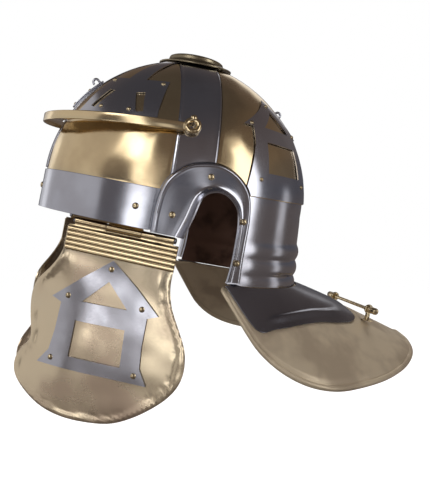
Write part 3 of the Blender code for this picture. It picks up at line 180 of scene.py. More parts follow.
tone = nodes.new("ShaderNodeValToRGB")
tone.color_ramp.elements[0].position = 0.0
tone.color_ramp.elements[0].color = (0.10, 0.085, 0.078, 1.0)
tone.color_ramp.elements[1].position = 1.0
tone.color_ramp.elements[1].color = (0.070, 0.064, 0.066, 1.0)
for position, colour in ((0.40, (0.14, 0.115, 0.105, 1.0)), (0.52, (0.10, 0.10, 0.115, 1.0)),
                         (0.72, (0.155, 0.13, 0.12, 1.0)), (0.90, (0.12, 0.095, 0.085, 1.0))):
    tone.color_ramp.elements.new(position).color = colour
links.new(map_range(share_along((0.0, 0.0, 1.0)), -1.0, 1.0), tone.inputs["Fac"])
total = None
for towards_front, rise, half_width, half_height, bright in TENT_PANELS:
    middle = direction(towards_front, rise)
    across = Vector((-middle.y, middle.x, 0.0)).normalized()
    facing = arithmetic("MAXIMUM", share_along(middle), 0.001)
    panel = map_range(facing, 0.0, 0.1, 0.0, bright)
    for axis, half in ((across, half_width), (middle.cross(across), half_height)):
        off = arithmetic("ABSOLUTE", arithmetic("DIVIDE", share_along(axis), facing), 0.0)
        reach = math.tan(math.radians(half))
        panel = arithmetic("MULTIPLY", panel, map_range(off, reach + 0.05, reach - 0.05))
    total = panel if total is None else arithmetic("ADD", total, panel)
joined = nodes.new("ShaderNodeVectorMath")
links.new(tone.outputs["Color"], joined.inputs[0])
links.new(total, joined.inputs[1])
background = nodes["Background"]
links.new(joined.outputs["Vector"], background.inputs["Color"])
plain = nodes.new("ShaderNodeBackground")
plain.inputs["Color"].default_value = (1.0, 1.0, 1.0, 1.0)
seen = nodes.new("ShaderNodeLightPath")
choose = nodes.new("ShaderNodeMixShader")
links.new(seen.outputs["Is Camera Ray"], choose.inputs[0])
links.new(background.outputs[0], choose.inputs[1])
links.new(plain.outputs[0], choose.inputs[2])
links.new(choose.outputs[0], nodes["World Output"].inputs["Surface"])

for label, towards_front, rise, size, power in (
        ("key_light", 58.0, 30.0, 0.5, 4.0), ("rear_light", -125.0, 44.0, 0.5, 8.0)):
    lamp_data = bpy.data.lights.new(label, "AREA")
    lamp_data.size = size
    lamp_data.energy = power
    lamp = bpy.data.objects.new(label, lamp_data)
    aim = direction(towards_front, rise)
    lamp.location = in_world((0.0, 0.0, 0.0)) + aim * 1.2
    lamp.rotation_mode = "QUATERNION"
    lamp.rotation_quaternion = aim.to_track_quat("Z", "Y")
    lamp.visible_glossy = False
    scene.collection.objects.link(lamp)

# Skull A bowl hammered from one steel sheet, with a brow hem in front, a deep nape with ribs across it
# behind, and an opening over each ear. Polished outside, dark and brown inside.
HALF_LENGTH = 0.1172
HALF_WIDTH = 0.0970
CROWN_HEIGHT = 0.1507
EQUATOR_HEIGHT = 0.0346
DOME_FULLNESS = 1.043
SKULL_WALL = 0.0012
GAP = 0.0005
BROW_HEM = 0.0004
NAPE_DROP = 0.0315
NAPE_RISE = 0.0060
NAPE_SWELL = 0.0062
RIB_TOP = 0.0048
RIB_PITCH = 0.0140
RIB_DEPTH = 0.0026
RIB_TURNS = 2.6
DENT_HEIGHT = 0.0012


def smooth_step(value):
    value = min(max(value, 0.0), 1.0)
    return value * value * (3.0 - 2.0 * value)


def spread(low, high, count):
    """Evenly spaced values, both ends included."""
    return [low + (high - low) * step / count for step in range(count + 1)]


def curve_through(points, per_span):
    """Points on a smooth curve through the given ones."""
    points = [Vector(point) for point in points]
    result = []
    for index in range(len(points) - 1):
        b, c = points[index], points[index + 1]
        a = points[index - 1] if index > 0 else b * 2.0 - c
        d = points[index + 2] if index + 2 < len(points) else c * 2.0 - b
        for step in range(per_span):
            t = step / per_span
            result.append(0.5 * (2.0 * b + (c - a) * t + (2.0 * a - 5.0 * b + 4.0 * c - d) * t ** 2
                                 + (3.0 * b - a - 3.0 * c + d) * t ** 3))
    return result + [points[-1]]


def plan_factor(height):
    """How much of the full plan size the bowl has at this height."""
    level = (height - EQUATOR_HEIGHT) / (CROWN_HEIGHT - EQUATOR_HEIGHT)
    return 1.0 if level <= 0.0 else max(1.0 - level * level, 0.0) ** (DOME_FULLNESS / 2.0)


def rise_of(height):
    span = CROWN_HEIGHT - EQUATOR_HEIGHT
    level = min((height - EQUATOR_HEIGHT) / span, 1.0)
    return span * (math.asin(level) if level > 0.0 else level)


def height_of(rise):
    span = CROWN_HEIGHT - EQUATOR_HEIGHT
    return EQUATOR_HEIGHT + (span * math.sin(min(rise / span, 0.5 * math.pi)) if rise > 0.0 else rise)


def nape_rise(angle):
    return NAPE_RISE * max(math.sin(angle), 0.0) ** 2


def nape_swell(angle, height):
    """The flare towards the neck and the ribs across it."""
    back_share = max(math.sin(angle), 0.0)
    depth = max(EQUATOR_HEIGHT - height, 0.0) / (EQUATOR_HEIGHT + NAPE_DROP)
    swell = NAPE_SWELL * depth ** 0.8 * back_share ** 2
    down = (RIB_TOP + nape_rise(angle) - height) / RIB_PITCH
    if 0.0 < down < RIB_TURNS:
        across = smooth_step((back_share - 0.42) / 0.08)
        swell += RIB_DEPTH * across * abs(math.sin(math.pi * down)) ** 0.8
    return swell


def skull_point(azimuth, height, lift=0.0):
    """A point over the bowl; azimuth in degrees from the wearer's left towards the rear."""
    angle = math.radians(azimuth)
    factor = plan_factor(height)
    level = max((height - EQUATOR_HEIGHT) / (CROWN_HEIGHT - EQUATOR_HEIGHT), 0.0)
    return Vector(((HALF_WIDTH + lift) * factor * math.cos(angle),
                   (HALF_LENGTH + lift + nape_swell(angle, height)) * factor * math.sin(angle),
                   height + lift * level))


def dome_point(x, y, lift=0.0):
    """A point over the bowl at this place in plan."""
    factor = min(math.hypot(x / HALF_WIDTH, y / HALF_LENGTH), 1.0)
    level = math.sqrt(max(1.0 - factor ** (2.0 / DOME_FULLNESS), 0.0))
    height = EQUATOR_HEIGHT + (CROWN_HEIGHT - EQUATOR_HEIGHT) * level
    return skull_point(math.degrees(math.atan2(y / HALF_LENGTH, x / HALF_WIDTH)), height, lift)


def wall_x(y, height, lift=0.0):
    angle = math.asin(min(max(y / (HALF_LENGTH * plan_factor(height)), -1.0), 1.0))
    return skull_point(math.degrees(angle), height, lift).x


def mirrored(point, side):
    return Vector((point[0] * side, point[1], point[2]))


def laid_grid(across, along, spot):
    """A grid of faces whose corners are moved to spot(u, v), in the helmet's frame."""
    data = bmesh.new()
    bmesh.ops.create_grid(data, x_segments=len(across) - 1, y_segments=len(along) - 1, size=1.0)
    low = Vector((min(vert.co.x for vert in data.verts), min(vert.co.y for vert in data.verts)))
    high = Vector((max(vert.co.x for vert in data.verts), max(vert.co.y for vert in data.verts)))
    for vert in data.verts:
        i = round((vert.co.x - low.x) / (high.x - low.x) * (len(across) - 1))
        j = round((vert.co.y - low.y) / (high.y - low.y) * (len(along) - 1))
        vert.co = in_world(spot(across[i], along[j]))
    return data


def face_towards(data, centre, sign=1.0):
    """Turns a sheet's faces away from a centre, or towards it with sign -1."""
    centre = in_world(centre)
    total = 0.0
    for face in data.faces:
        face.normal_update()
        total += face.normal.dot(face.calc_center_median() - centre) * face.calc_area()
    if total * sign < 0.0:
        bmesh.ops.reverse_faces(data, faces=data.faces)


def finish_piece(name, data, body, material, nodes_replaced=(), wall=0.0, bevel=0.0,
                 second=None):
    """Makes the piece: gives the sheet its wall and its edges their round."""
    mesh = bpy.data.meshes.new(name)
    for face in data.faces:
        face.smooth = True
    for edge in data.edges:
        edge.smooth = not edge.is_boundary
    data.to_mesh(mesh)
    data.free()
    mesh.materials.append(material)
    if second is not None:
        mesh.materials.append(second)
    piece = bpy.data.objects.new(name, mesh)
    scene.collection.objects.link(piece)
    if wall:
        solid = piece.modifiers.new("wall", "SOLIDIFY")
        solid.thickness = wall
        solid.offset = -1.0
        solid.use_even_offset = True
        if second is not None:
            solid.material_offset = 1
    if bevel:
        rounding = piece.modifiers.new("rounding", "BEVEL")
        rounding.width = bevel
        rounding.segments = 2
        rounding.limit_method = "ANGLE"
        rounding.angle_limit = math.radians(50.0)
        rounding.harden_normals = False
    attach(piece, body)
    if nodes_replaced:
        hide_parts(*nodes_replaced)
    return piece


def new_group(name, inputs, outputs):
    group = bpy.data.node_groups.new(name, "ShaderNodeTree")
    for label, kind, value in inputs:
        socket = group.interface.new_socket(label, in_out="INPUT", socket_type=kind)
        socket.default_value = value
    for label, kind in outputs:
        group.interface.new_socket(label, in_out="OUTPUT", socket_type=kind)
    return group, group.nodes.new("NodeGroupInput"), group.nodes.new("NodeGroupOutput")


# Worked sheet metal: broad stains, hand rubbing and shallow hammer marks, as hand-finished armour shows.
worked, source, result = new_group(
    "worked_sheet",
    (("Clean Color", "NodeSocketColor", (0.6, 0.6, 0.6, 1.0)),
     ("Stain Color", "NodeSocketColor", (0.2, 0.2, 0.2, 1.0)),
     ("Stain Share", "NodeSocketFloat", 0.4), ("Clean Roughness", "NodeSocketFloat", 0.2),
     ("Stain Roughness", "NodeSocketFloat", 0.5), ("Stain Scale", "NodeSocketFloat", 22.0),
     ("Hammer Scale", "NodeSocketFloat", 34.0)),
    (("Color", "NodeSocketColor"), ("Roughness", "NodeSocketFloat"), ("Hammer Height", "NodeSocketFloat"),
     ("Scratch Height", "NodeSocketFloat")))
nodes, links = worked.nodes, worked.links
place = nodes.new("ShaderNodeTexCoord")


def noise(scale, detail, roughness=0.55, vector=None):
    texture = nodes.new("ShaderNodeTexNoise")
    texture.inputs["Detail"].default_value = detail
    texture.inputs["Roughness"].default_value = roughness
    if isinstance(scale, float):
        texture.inputs["Scale"].default_value = scale
    else:
        links.new(scale, texture.inputs["Scale"])
    links.new(vector or place.outputs["Object"], texture.inputs["Vector"])
    return texture.outputs["Fac"]


stretch = nodes.new("ShaderNodeMapping")
stretch.inputs["Scale"].default_value = (1.0, 0.16, 1.0)
stretch.inputs["Rotation"].default_value = (0.5, 0.3, 0.35)
links.new(place.outputs["Object"], stretch.inputs["Vector"])
blotches = map_range(noise(source.outputs["Stain Scale"], 3.0, 0.5), 0.36, 0.66)
specks = map_range(noise(420.0, 4.0, 0.7), 0.58, 0.76)
rubbing = noise(900.0, 3.0, 0.6, stretch.outputs["Vector"])
stained = arithmetic("MULTIPLY", arithmetic("ADD", blotches, arithmetic("MULTIPLY", specks, 0.04)),
                     source.outputs["Stain Share"])
stained = map_range(stained, 0.0, 1.0)
mixed = nodes.new("ShaderNodeMix")
mixed.data_type = "RGBA"
links.new(stained, mixed.inputs["Factor"])
links.new(source.outputs["Clean Color"], mixed.inputs[6])
links.new(source.outputs["Stain Color"], mixed.inputs[7])
links.new(mixed.outputs[2], result.inputs["Color"])
rough = nodes.new("ShaderNodeMix")
links.new(stained, rough.inputs["Factor"])
links.new(source.outputs["Clean Roughness"], rough.inputs[2])
links.new(source.outputs["Stain Roughness"], rough.inputs[3])
links.new(arithmetic("ADD", rough.outputs[0], arithmetic("MULTIPLY", rubbing, 0.10)),
          result.inputs["Roughness"])
links.new(noise(source.outputs["Hammer Scale"], 1.0, 0.4), result.inputs["Hammer Height"])
links.new(rubbing, result.inputs["Scratch Height"])


def metal(name, clean, stain, share, roughness, stain_roughness, hammer=0.35, stain_scale=22.0, hammer_scale=34.0,
          metallic=1.0):
    """A sheet-metal finish with its own colours, stains and depth of hammer marks."""
    material = bpy.data.materials.new(name)
    material.use_nodes = True
    tree = material.node_tree
    shader = tree.nodes["Principled BSDF"]
    shader.inputs["Metallic"].default_value = metallic
    sheet = tree.nodes.new("ShaderNodeGroup")
    sheet.node_tree = worked
    for label, value in (("Clean Color", (*clean, 1.0)), ("Stain Color", (*stain, 1.0)), ("Stain Share", share),
                         ("Clean Roughness", roughness), ("Stain Roughness", stain_roughness),
                         ("Stain Scale", stain_scale), ("Hammer Scale", hammer_scale)):
        sheet.inputs[label].default_value = value
    marks = tree.nodes.new("ShaderNodeBump")
    marks.inputs["Strength"].default_value = hammer
    marks.inputs["Distance"].default_value = DENT_HEIGHT
    fine = tree.nodes.new("ShaderNodeBump")
    fine.inputs["Strength"].default_value = 0.02
    fine.inputs["Distance"].default_value = 0.0002
    tree.links.new(sheet.outputs["Color"], shader.inputs["Base Color"])
    tree.links.new(sheet.outputs["Roughness"], shader.inputs["Roughness"])
    tree.links.new(sheet.outputs["Hammer Height"], marks.inputs["Height"])
    tree.links.new(sheet.outputs["Scratch Height"], fine.inputs["Height"])
    tree.links.new(marks.outputs["Normal"], fine.inputs["Normal"])
    tree.links.new(fine.outputs["Normal"], shader.inputs["Normal"])
    return material


steel = metal("polished_steel", (0.56, 0.57, 0.63), (0.33, 0.31, 0.33), 0.40, 0.10, 0.26)
inside_steel = metal("unpolished_inside", (0.22, 0.12, 0.085), (0.10, 0.055, 0.040), 0.8, 0.50, 0.75, 0.5,
                     40.0, 60.0, 0.3)

EAR_CENTRE_Y = 0.0085
EAR_HALF_LENGTH = 0.0403
EAR_TOP = 0.0605
EAR_STATIONS = (
    # outer along, outer up, inner along, inner up: shares of the half length and of the top height
    (-0.98, -0.016, -0.40, -0.016), (-0.985, 0.25, -0.29, 0.25), (-0.945, 0.53, -0.21, 0.49),
    (-0.80, 0.74, -0.14, 0.57), (-0.51, 0.915, -0.05, 0.62), (-0.16, 0.99, 0.09, 0.65),
    (0.14, 1.00, 0.23, 0.647), (0.44, 0.94, 0.37, 0.61), (0.70, 0.82, 0.50, 0.545),
    (0.87, 0.65, 0.605, 0.45), (0.955, 0.395, 0.665, 0.285), (0.975, 0.11, 0.685, 0.065),
    (0.99, -0.20, 0.69, -0.22), (1.02, -0.465, 0.66, -0.475))


def ear_edge(column, widen=0.0, per_span=1):
    """One edge of the ear guard's strip in the side view, as (y, z), grown outwards by widen."""
    rows = [Vector((EAR_CENTRE_Y + row[column] * EAR_HALF_LENGTH, row[column + 1] * EAR_TOP)) for row in EAR_STATIONS]
    other = [Vector((EAR_CENTRE_Y + row[2 - column] * EAR_HALF_LENGTH, row[3 - column] * EAR_TOP))
             for row in EAR_STATIONS]
    sign = 1.0 if column == 0 else -1.0
    return curve_through([point + sign * (point - away).normalized() * widen
                          for point, away in zip(rows, other)],
                         per_span)


def ear_cutter(name, column, widen):
    """A block with the ear opening's shape, right across the helmet, used to cut other pieces."""
    edge = ear_edge(column, widen, 4)
    data = bmesh.new()
    profile = [Vector((edge[0].x, edge[0].y - 0.06))] + edge + [Vector((edge[-1].x, edge[-1].y - 0.06))]
    corners = [data.verts.new((-0.15, point.x, point.y)) for point in profile]
    face = data.faces.new(corners)
    grown = bmesh.ops.extrude_face_region(data, geom=[face])
    moved = [item for item in grown["geom"] if isinstance(item, bmesh.types.BMVert)]
    bmesh.ops.translate(data, verts=moved, vec=(0.30, 0.0, 0.0))
    bmesh.ops.recalc_face_normals(data, faces=data.faces)
    for vert in data.verts:
        vert.co = in_world(vert.co)
    mesh = bpy.data.meshes.new(name)
    data.to_mesh(mesh)
    data.free()
    cutter = bpy.data.objects.new(name, mesh)
    scene.collection.objects.link(cutter)
    return cutter


def cut_away(piece, cutter):
    """Cuts a piece for good, so that the cutter can go."""
    modifier = piece.modifiers.new("cut", "BOOLEAN")
    modifier.operation = "DIFFERENCE"
    modifier.solver = "EXACT"
    modifier.object = cutter
    bpy.context.view_layer.update()
    shape = bpy.data.meshes.new_from_object(piece.evaluated_get(bpy.context.evaluated_depsgraph_get()))
    shape.set_sharp_from_angle(angle=math.radians(40.0))
    piece.modifiers.clear()
    old, piece.data = piece.data, shape
    name = old.name
    bpy.data.meshes.remove(old)
    shape.name = name


ear_hole = ear_cutter("ear_hole", 2, 0.0030)
ear_trim = ear_cutter("ear_trim", 0, 1.5 * GAP)
front_edge = math.sin(math.radians(2.0))


def skull_spot(azimuth, share):
    """Rows below 1 run from the hem to the equator, those above from the equator to the crown."""
    angle = math.radians(azimuth)
    drop = smooth_step((math.sin(angle) - front_edge) / 0.22)
    low = BROW_HEM + (nape_rise(angle) - NAPE_DROP - BROW_HEM) * drop
    if share <= 1.0:
        return skull_point(azimuth, low + (EQUATOR_HEIGHT - low) * share)
    rise = math.sin(0.5 * math.pi * (share - 1.0))
    return skull_point(azimuth, EQUATOR_HEIGHT + (CROWN_HEIGHT - EQUATOR_HEIGHT) * rise)


data = laid_grid(spread(0.0, 360.0, 144), spread(0.0, 1.0, 44) + spread(1.0, 2.0, 40)[1:], skull_spot)
bmesh.ops.remove_doubles(data, verts=data.verts, dist=1e-6)
face_towards(data, (0.0, 0.0, 0.03))
skull = finish_piece("skull_bowl", data, "helmet", steel, ("skull",), SKULL_WALL, second=inside_steel)
cut_away(skull, ear_hole)

# Brow band A strip of polished steel round the brow from ear guard to ear guard, held by brass rivets over
# the hinges, one near each rear end and one in the middle of the front.
BAND_HEIGHT = 0.0328
BAND_THICKNESS = 0.0010
BAND_REAR_Y = -0.0320
RIVET_RADIUS = 0.0027
RIVET_HEIGHT = 0.0016
brass = metal("polished_brass", (0.80, 0.64, 0.39), (0.50, 0.37, 0.22), 0.50, 0.10, 0.28, 1.0, 22.0, 27.0)
rivet_brass = metal("rivet_brass", (0.66, 0.54, 0.34), (0.30, 0.23, 0.14), 0.5, 0.18, 0.4, 0.0, 300.0)

start = math.degrees(math.asin(BAND_REAR_Y / HALF_LENGTH))
data = laid_grid(spread(start, -180.0 - start, 110), (0.0, 0.0014, 0.010, 0.020, BAND_HEIGHT - 0.0014, BAND_HEIGHT),
                 lambda azimuth, height: skull_point(azimuth, height, GAP + BAND_THICKNESS))
face_towards(data, (0.0, 0.0, 0.015))
finish_piece("brow_band_sheet", data, "helmet", steel, ("brow_band",), BAND_THICKNESS, 0.00025)


def rivet_heads(name, body, places, radius=RIVET_RADIUS, rise=RIVET_HEIGHT):
    """Low domed heads; places are (point, outward direction) in the helmet's frame."""
    data = bmesh.new()
    for point, outward in places:
        outward = Vector(outward).normalized()
        head = bmesh.ops.create_uvsphere(data, u_segments=16, v_segments=10, radius=1.0)["verts"]
        turn = outward.to_track_quat("Z", "Y").to_matrix().to_4x4()
        shape = Matrix.Diagonal((radius, radius, rise, 1.0))
        for vert in head:
            vert.co = in_world(Vector(point) + turn @ (shape @ vert.co))
    return finish_piece(name, data, body, rivet_brass)


def skull_rivet(azimuth, height, lift):
    """A rivet's place and direction on the bowl's outside."""
    base = skull_point(azimuth, height, lift)
    return base, skull_point(azimuth, height, lift + 0.01) - base


BAND_TOP = GAP + BAND_THICKNESS
middle_azimuth = math.degrees(math.asin(-0.04475 / HALF_LENGTH))
band_rivets = [skull_rivet(azimuth, height, BAND_TOP) for azimuth, height in (
    (middle_azimuth, 0.0164), (-180.0 - middle_azimuth, 0.0164), (-90.0, 0.0185))]
rivet_heads("brow_band_rivets", "helmet", band_rivets)

# Crest strap and side straps Three steel straps cross at the crown: one from brow to nape, and one down to
# each ear guard. A low bead runs along both edges of each.
STRAP_HALF_WIDTH = 0.0165
STRAP_THICKNESS = 0.0010
STRAP_BEAD = 0.0003
STRAP_BEAD_WIDTH = 0.0012
SIDE_STRAP_Y = -0.0070
REAR_PANEL_BASE = 0.0408


def strap_lift(offset):
    edge = (STRAP_HALF_WIDTH - abs(offset)) / (2.0 * STRAP_BEAD_WIDTH)
    bead = STRAP_BEAD * math.sin(math.pi * min(edge, 1.0)) ** 2 if edge > 0.0 else 0.0
    return GAP + STRAP_THICKNESS + bead


strap_offsets = spread(-STRAP_HALF_WIDTH, -STRAP_HALF_WIDTH + 2.0 * STRAP_BEAD_WIDTH, 8)
strap_offsets += spread(-STRAP_HALF_WIDTH + 2.0 * STRAP_BEAD_WIDTH, STRAP_HALF_WIDTH - 2.0 * STRAP_BEAD_WIDTH, 12)[1:]
strap_offsets += spread(STRAP_HALF_WIDTH - 2.0 * STRAP_BEAD_WIDTH, STRAP_HALF_WIDTH, 8)[1:]


def crest_spot(x, share):
    reach = HALF_LENGTH * math.sqrt(1.0 - (x / HALF_WIDTH) ** 2)
    end = plan_factor(REAR_PANEL_BASE + NAPE_RISE)
    tail = math.acos(-math.sqrt(max(end ** 2 - (x / HALF_WIDTH) ** 2, 0.0)) * HALF_LENGTH / reach)
    return dome_point(x, -reach * math.cos(tail * share), strap_lift(x))


data = laid_grid(strap_offsets, spread(0.0, 1.0, 110), crest_spot)
face_towards(data, (0.0, 0.0, 0.03))
finish_piece("crest_strap_sheet", data, "helmet", steel, ("crest_strap",), STRAP_THICKNESS, 0.0002)

for side, end in ((1, "left"), (-1, "right")):
    def side_spot(offset, share):
        y = SIDE_STRAP_Y + offset
        reach = HALF_WIDTH * math.sqrt(1.0 - (y / HALF_LENGTH) ** 2)
        first = math.asin((STRAP_HALF_WIDTH + 1.3 * GAP) / reach)
        x = reach * math.sin(first + (0.5 * math.pi - first) * share)
        return mirrored(dome_point(x, y, strap_lift(offset)), side)

    data = laid_grid(strap_offsets, spread(0.0, 1.0, 60), side_spot)
    face_towards(data, (0.0, 0.0, 0.03))
    strap = finish_piece("side_strap_sheet_" + end, data, "helmet", steel, ("side_strap_" + end,),
                         STRAP_THICKNESS, 0.0002)
    cut_away(strap, ear_trim)

# Brass panels
# Four brass sheets fill the quarters between the straps. They are thin and show the planishing hammer.
PANEL_THICKNESS = 0.0007
PANEL_TOP_FACTOR = 0.27
PANEL_LIFT = GAP + PANEL_THICKNESS
PANEL_DENT = 0.00045
top_turn = math.asin(math.sqrt(1.0 - PANEL_TOP_FACTOR ** (2.0 / DOME_FULLNESS)))

for side, end in ((1, "left"), (-1, "right")):
    for front in (True, False):
        panel_edge = STRAP_HALF_WIDTH + 1.3 * GAP
        side_edge = SIDE_STRAP_Y + (-panel_edge if front else panel_edge)

        def panel_spot(across, share):
            span = CROWN_HEIGHT - EQUATOR_HEIGHT
            base = BAND_HEIGHT + 0.5 * GAP
            azimuth = 0.0
            for _ in range(4):
                if not front:
                    base = REAR_PANEL_BASE + nape_rise(math.radians(azimuth))
                low_turn = rise_of(base) / span
                height = height_of(span * (low_turn + (top_turn - low_turn) * share))
                factor = plan_factor(height)
                first = math.degrees(math.asin(side_edge / (HALF_LENGTH * factor)))
                last = math.degrees(math.acos(panel_edge / (HALF_WIDTH * factor))) * (-1.0 if front else 1.0)
                azimuth = first + (last - first) * across
            dent = PANEL_DENT * smooth_noise(skull_point(azimuth, height) * 55.0 + Vector((side, 0.0, 0.0)))
            return mirrored(skull_point(azimuth, height, PANEL_LIFT + dent), side)

        label = ("front" if front else "rear") + "_panel_" + end
        data = laid_grid(spread(0.0, 1.0, 44), spread(0.0, 1.0, 52), panel_spot)
        face_towards(data, (0.0, 0.0, 0.03))
        panel = finish_piece(label + "_sheet", data, "helmet", brass, (label,), PANEL_THICKNESS, 0.00015)
        cut_away(panel, ear_trim)

# Front plates and temple plates
# Steel sheets cut out like temple fronts and riveted over the panels, so that the brass shows through their
# openings. The front pair runs up to the crest disc in a spire.
PLATE_THICKNESS = 0.0009
FLAT_UNIT = 0.0018
TEMPLE = {
    "centre": 41.2, "half": 24.0, "base": 0.0412, "apex": 0.1240,
    "outline": ((0.00, 1.00), (0.46, 0.86), (1.00, 0.68), (0.77, 0.675), (0.78, 0.50), (0.86, 0.28), (0.96, 0.00)),
    "holes": (((0.00, 0.885), (0.46, 0.69), (-0.46, 0.69)),
              ((-0.48, 0.545), (0.48, 0.545), (0.50, 0.24), (-0.50, 0.24))),
    "rivets": ((0.00, 0.94), (0.80, 0.705), (-0.80, 0.705), (0.66, 0.17), (-0.66, 0.17))}
FRONT = {
    "centre": -45.0, "half": 22.7, "base": 0.0845, "apex": 0.1430,
    "outline": ((0.28, 1.00), (0.28, 0.56), (0.92, 0.58), (0.97, 0.12), (1.00, 0.00)),
    "holes": (((0.30, 0.34), (0.51, 0.36), (0.68, 0.08), (0.53, 0.06)),
              ((-0.30, 0.34), (-0.51, 0.36), (-0.68, 0.08), (-0.53, 0.06))),
    "rivets": ((0.79, 0.53), (-0.79, 0.53), (0.36, 0.085), (-0.36, 0.085))}


def whole_outline(half):
    """Both halves of an outline that is the same left and right."""
    return list(half) + [(-across, up) for across, up in reversed(half) if across > 0.0]


def score(data, faces, step):
    """Cuts flat faces along both axes into pieces no larger than a step, and returns the pieces."""
    verts = {vert for face in faces for vert in face.verts}
    for axis, normal in enumerate((Vector((1.0, 0.0, 0.0)), Vector((0.0, 1.0, 0.0)))):
        low = min(vert.co[axis] for vert in verts)
        high = max(vert.co[axis] for vert in verts)
        for cut in range(1, int((high - low) / step) + 1):
            geometry = set(faces)
            for face in faces:
                geometry.update(face.verts)
                geometry.update(face.edges)
            made = bmesh.ops.bisect_plane(data, geom=list(geometry), dist=0.00012,
                                          plane_co=normal * (low + (cut - 0.37) * step), plane_no=normal)
            faces = [item for item in made["geom"] if isinstance(item, bmesh.types.BMFace)]
    return faces


def cut_sheet(outline, holes, step, spot):
    """A flat sheet cut to an outline with holes, scored into small faces and laid on a surface by spot(u, v)."""
    data = bmesh.new()
    for loop in [outline] + list(holes):
        corners = []
        for first, second in zip(loop, loop[1:] + loop[:1]):
            pieces = max(math.ceil((Vector(second) - Vector(first)).length / step), 1)
            for part in range(pieces):
                point = Vector(first).lerp(Vector(second), part / pieces)
                corners.append(data.verts.new((point.x, point.y, 0.0)))
        for first, second in zip(corners, corners[1:] + corners[:1]):
            data.edges.new((first, second))
    bmesh.ops.triangle_fill(data, edges=data.edges[:], use_beauty=True, use_dissolve=False)
    inner_edges = [edge for edge in data.edges if not edge.is_boundary]
    bmesh.ops.dissolve_limit(data, angle_limit=0.01, verts=[], edges=inner_edges)
    score(data, data.faces[:], step)
    for vert in data.verts:
        vert.co = in_world(spot(vert.co.x, vert.co.y))
    return data


for label, plate in (("front_plate", FRONT), ("temple_plate", TEMPLE)):
    for side, end in ((1, "left"), (-1, "right")):
        def flat(point):
            return Vector((point[0] * plate["half"] * FLAT_UNIT,
                           rise_of(plate["base"] + point[1] * (plate["apex"] - plate["base"]))))

        def plate_spot(u, v, lift=2.0 * GAP + PANEL_THICKNESS + PLATE_THICKNESS):
            azimuth = plate["centre"] + u / FLAT_UNIT
            fade_out = 1.0 - smooth_step((height_of(v) - plate["base"]) / (plate["apex"] - plate["base"]))
            height = height_of(v) + nape_rise(math.radians(azimuth)) * fade_out
            return mirrored(skull_point(azimuth, height, lift), side)

        data = cut_sheet([flat(point) for point in whole_outline(plate["outline"])],
                         [[flat(point) for point in hole] for hole in plate["holes"]], 0.003, plate_spot)
        face_towards(data, (0.0, 0.0, 0.03))
        piece = finish_piece(label + "_sheet_" + end, data, "helmet", steel, (label + "_" + end,),
                             PLATE_THICKNESS)
        if label == "temple_plate":
            cut_away(piece, ear_trim)
        places = []
        for point in plate["rivets"]:
            spot = flat(point)
            base = plate_spot(spot.x, spot.y)
            places.append((base, plate_spot(spot.x, spot.y, 0.02) - base))
        rivet_heads(label + "_rivets_" + end, "helmet", places, radius=0.0019, rise=0.0012)

# Brow guard A brass bar with a broad face that stands out over the brow, held close to the bowl and ending in
# a scroll with a small knob on each side.
GUARD_FRONT_HEIGHT = 0.0767
GUARD_SIDE_HEIGHT = 0.0842
GUARD_SIDE_REACH = 0.0045
GUARD_FRONT_REACH = 0.0178
GUARD_FLANGE = 0.0016
GUARD_FACE_HEIGHT = 0.0072
GUARD_FACE_THICKNESS = 0.0018
GUARD_END_DEG = 9.8
SCROLL_RADIUS = 0.0050
SCROLL_WIRE = 0.0022
SCROLL_KNOB = 0.0030

guard_root = 2.0 * GAP + PANEL_THICKNESS + PLATE_THICKNESS + 0.0005


def guard_spot(step, azimuth):
    lean = abs(math.sin(math.radians(azimuth))) ** 1.5
    height = GUARD_SIDE_HEIGHT + (GUARD_FRONT_HEIGHT - GUARD_SIDE_HEIGHT) * lean
    reach = GUARD_SIDE_REACH + (GUARD_FRONT_REACH - GUARD_SIDE_REACH) * lean
    base = skull_point(azimuth, height)
    outward = Vector((base.x / HALF_WIDTH ** 2, base.y / HALF_LENGTH ** 2, 0.0)).normalized()
    half_flange, half_face = 0.5 * GUARD_FLANGE, 0.5 * GUARD_FACE_HEIGHT
    profile = ((guard_root, -half_flange), (reach, -half_flange), (reach, -half_face),
               (reach + GUARD_FACE_THICKNESS, -half_face), (reach + GUARD_FACE_THICKNESS, half_face),
               (reach, half_face), (reach, half_flange), (guard_root, half_flange))
    out, up = profile[step % 8]
    return base + outward * out + Vector((0.0, 0.0, up))


data = laid_grid(list(range(9)), spread(-GUARD_END_DEG, -180.0 + GUARD_END_DEG, 120), guard_spot)
bmesh.ops.remove_doubles(data, verts=data.verts, dist=1e-6)
bmesh.ops.holes_fill(data, edges=[edge for edge in data.edges if edge.is_boundary], sides=0)
bmesh.ops.recalc_face_normals(data, faces=data.faces)
finish_piece("brow_guard_bar", data, "helmet", brass, ("brow_guard",), bevel=0.0006)


def ring(centre, axis, radius, wire, steps=32, around=12):
    """A closed ring of round wire."""
    axis = Vector(axis).normalized()
    first = axis.orthogonal().normalized()
    second = axis.cross(first)

    def spot(small, turn):
        radial = first * math.cos(turn) + second * math.sin(turn)
        return Vector(centre) + radial * (radius + wire * math.cos(small)) + axis * wire * math.sin(small)

    data = laid_grid(spread(0.0, 2.0 * math.pi, around), spread(0.0, 2.0 * math.pi, steps), spot)
    bmesh.ops.remove_doubles(data, verts=data.verts, dist=1e-6)
    bmesh.ops.recalc_face_normals(data, faces=data.faces)
    return data


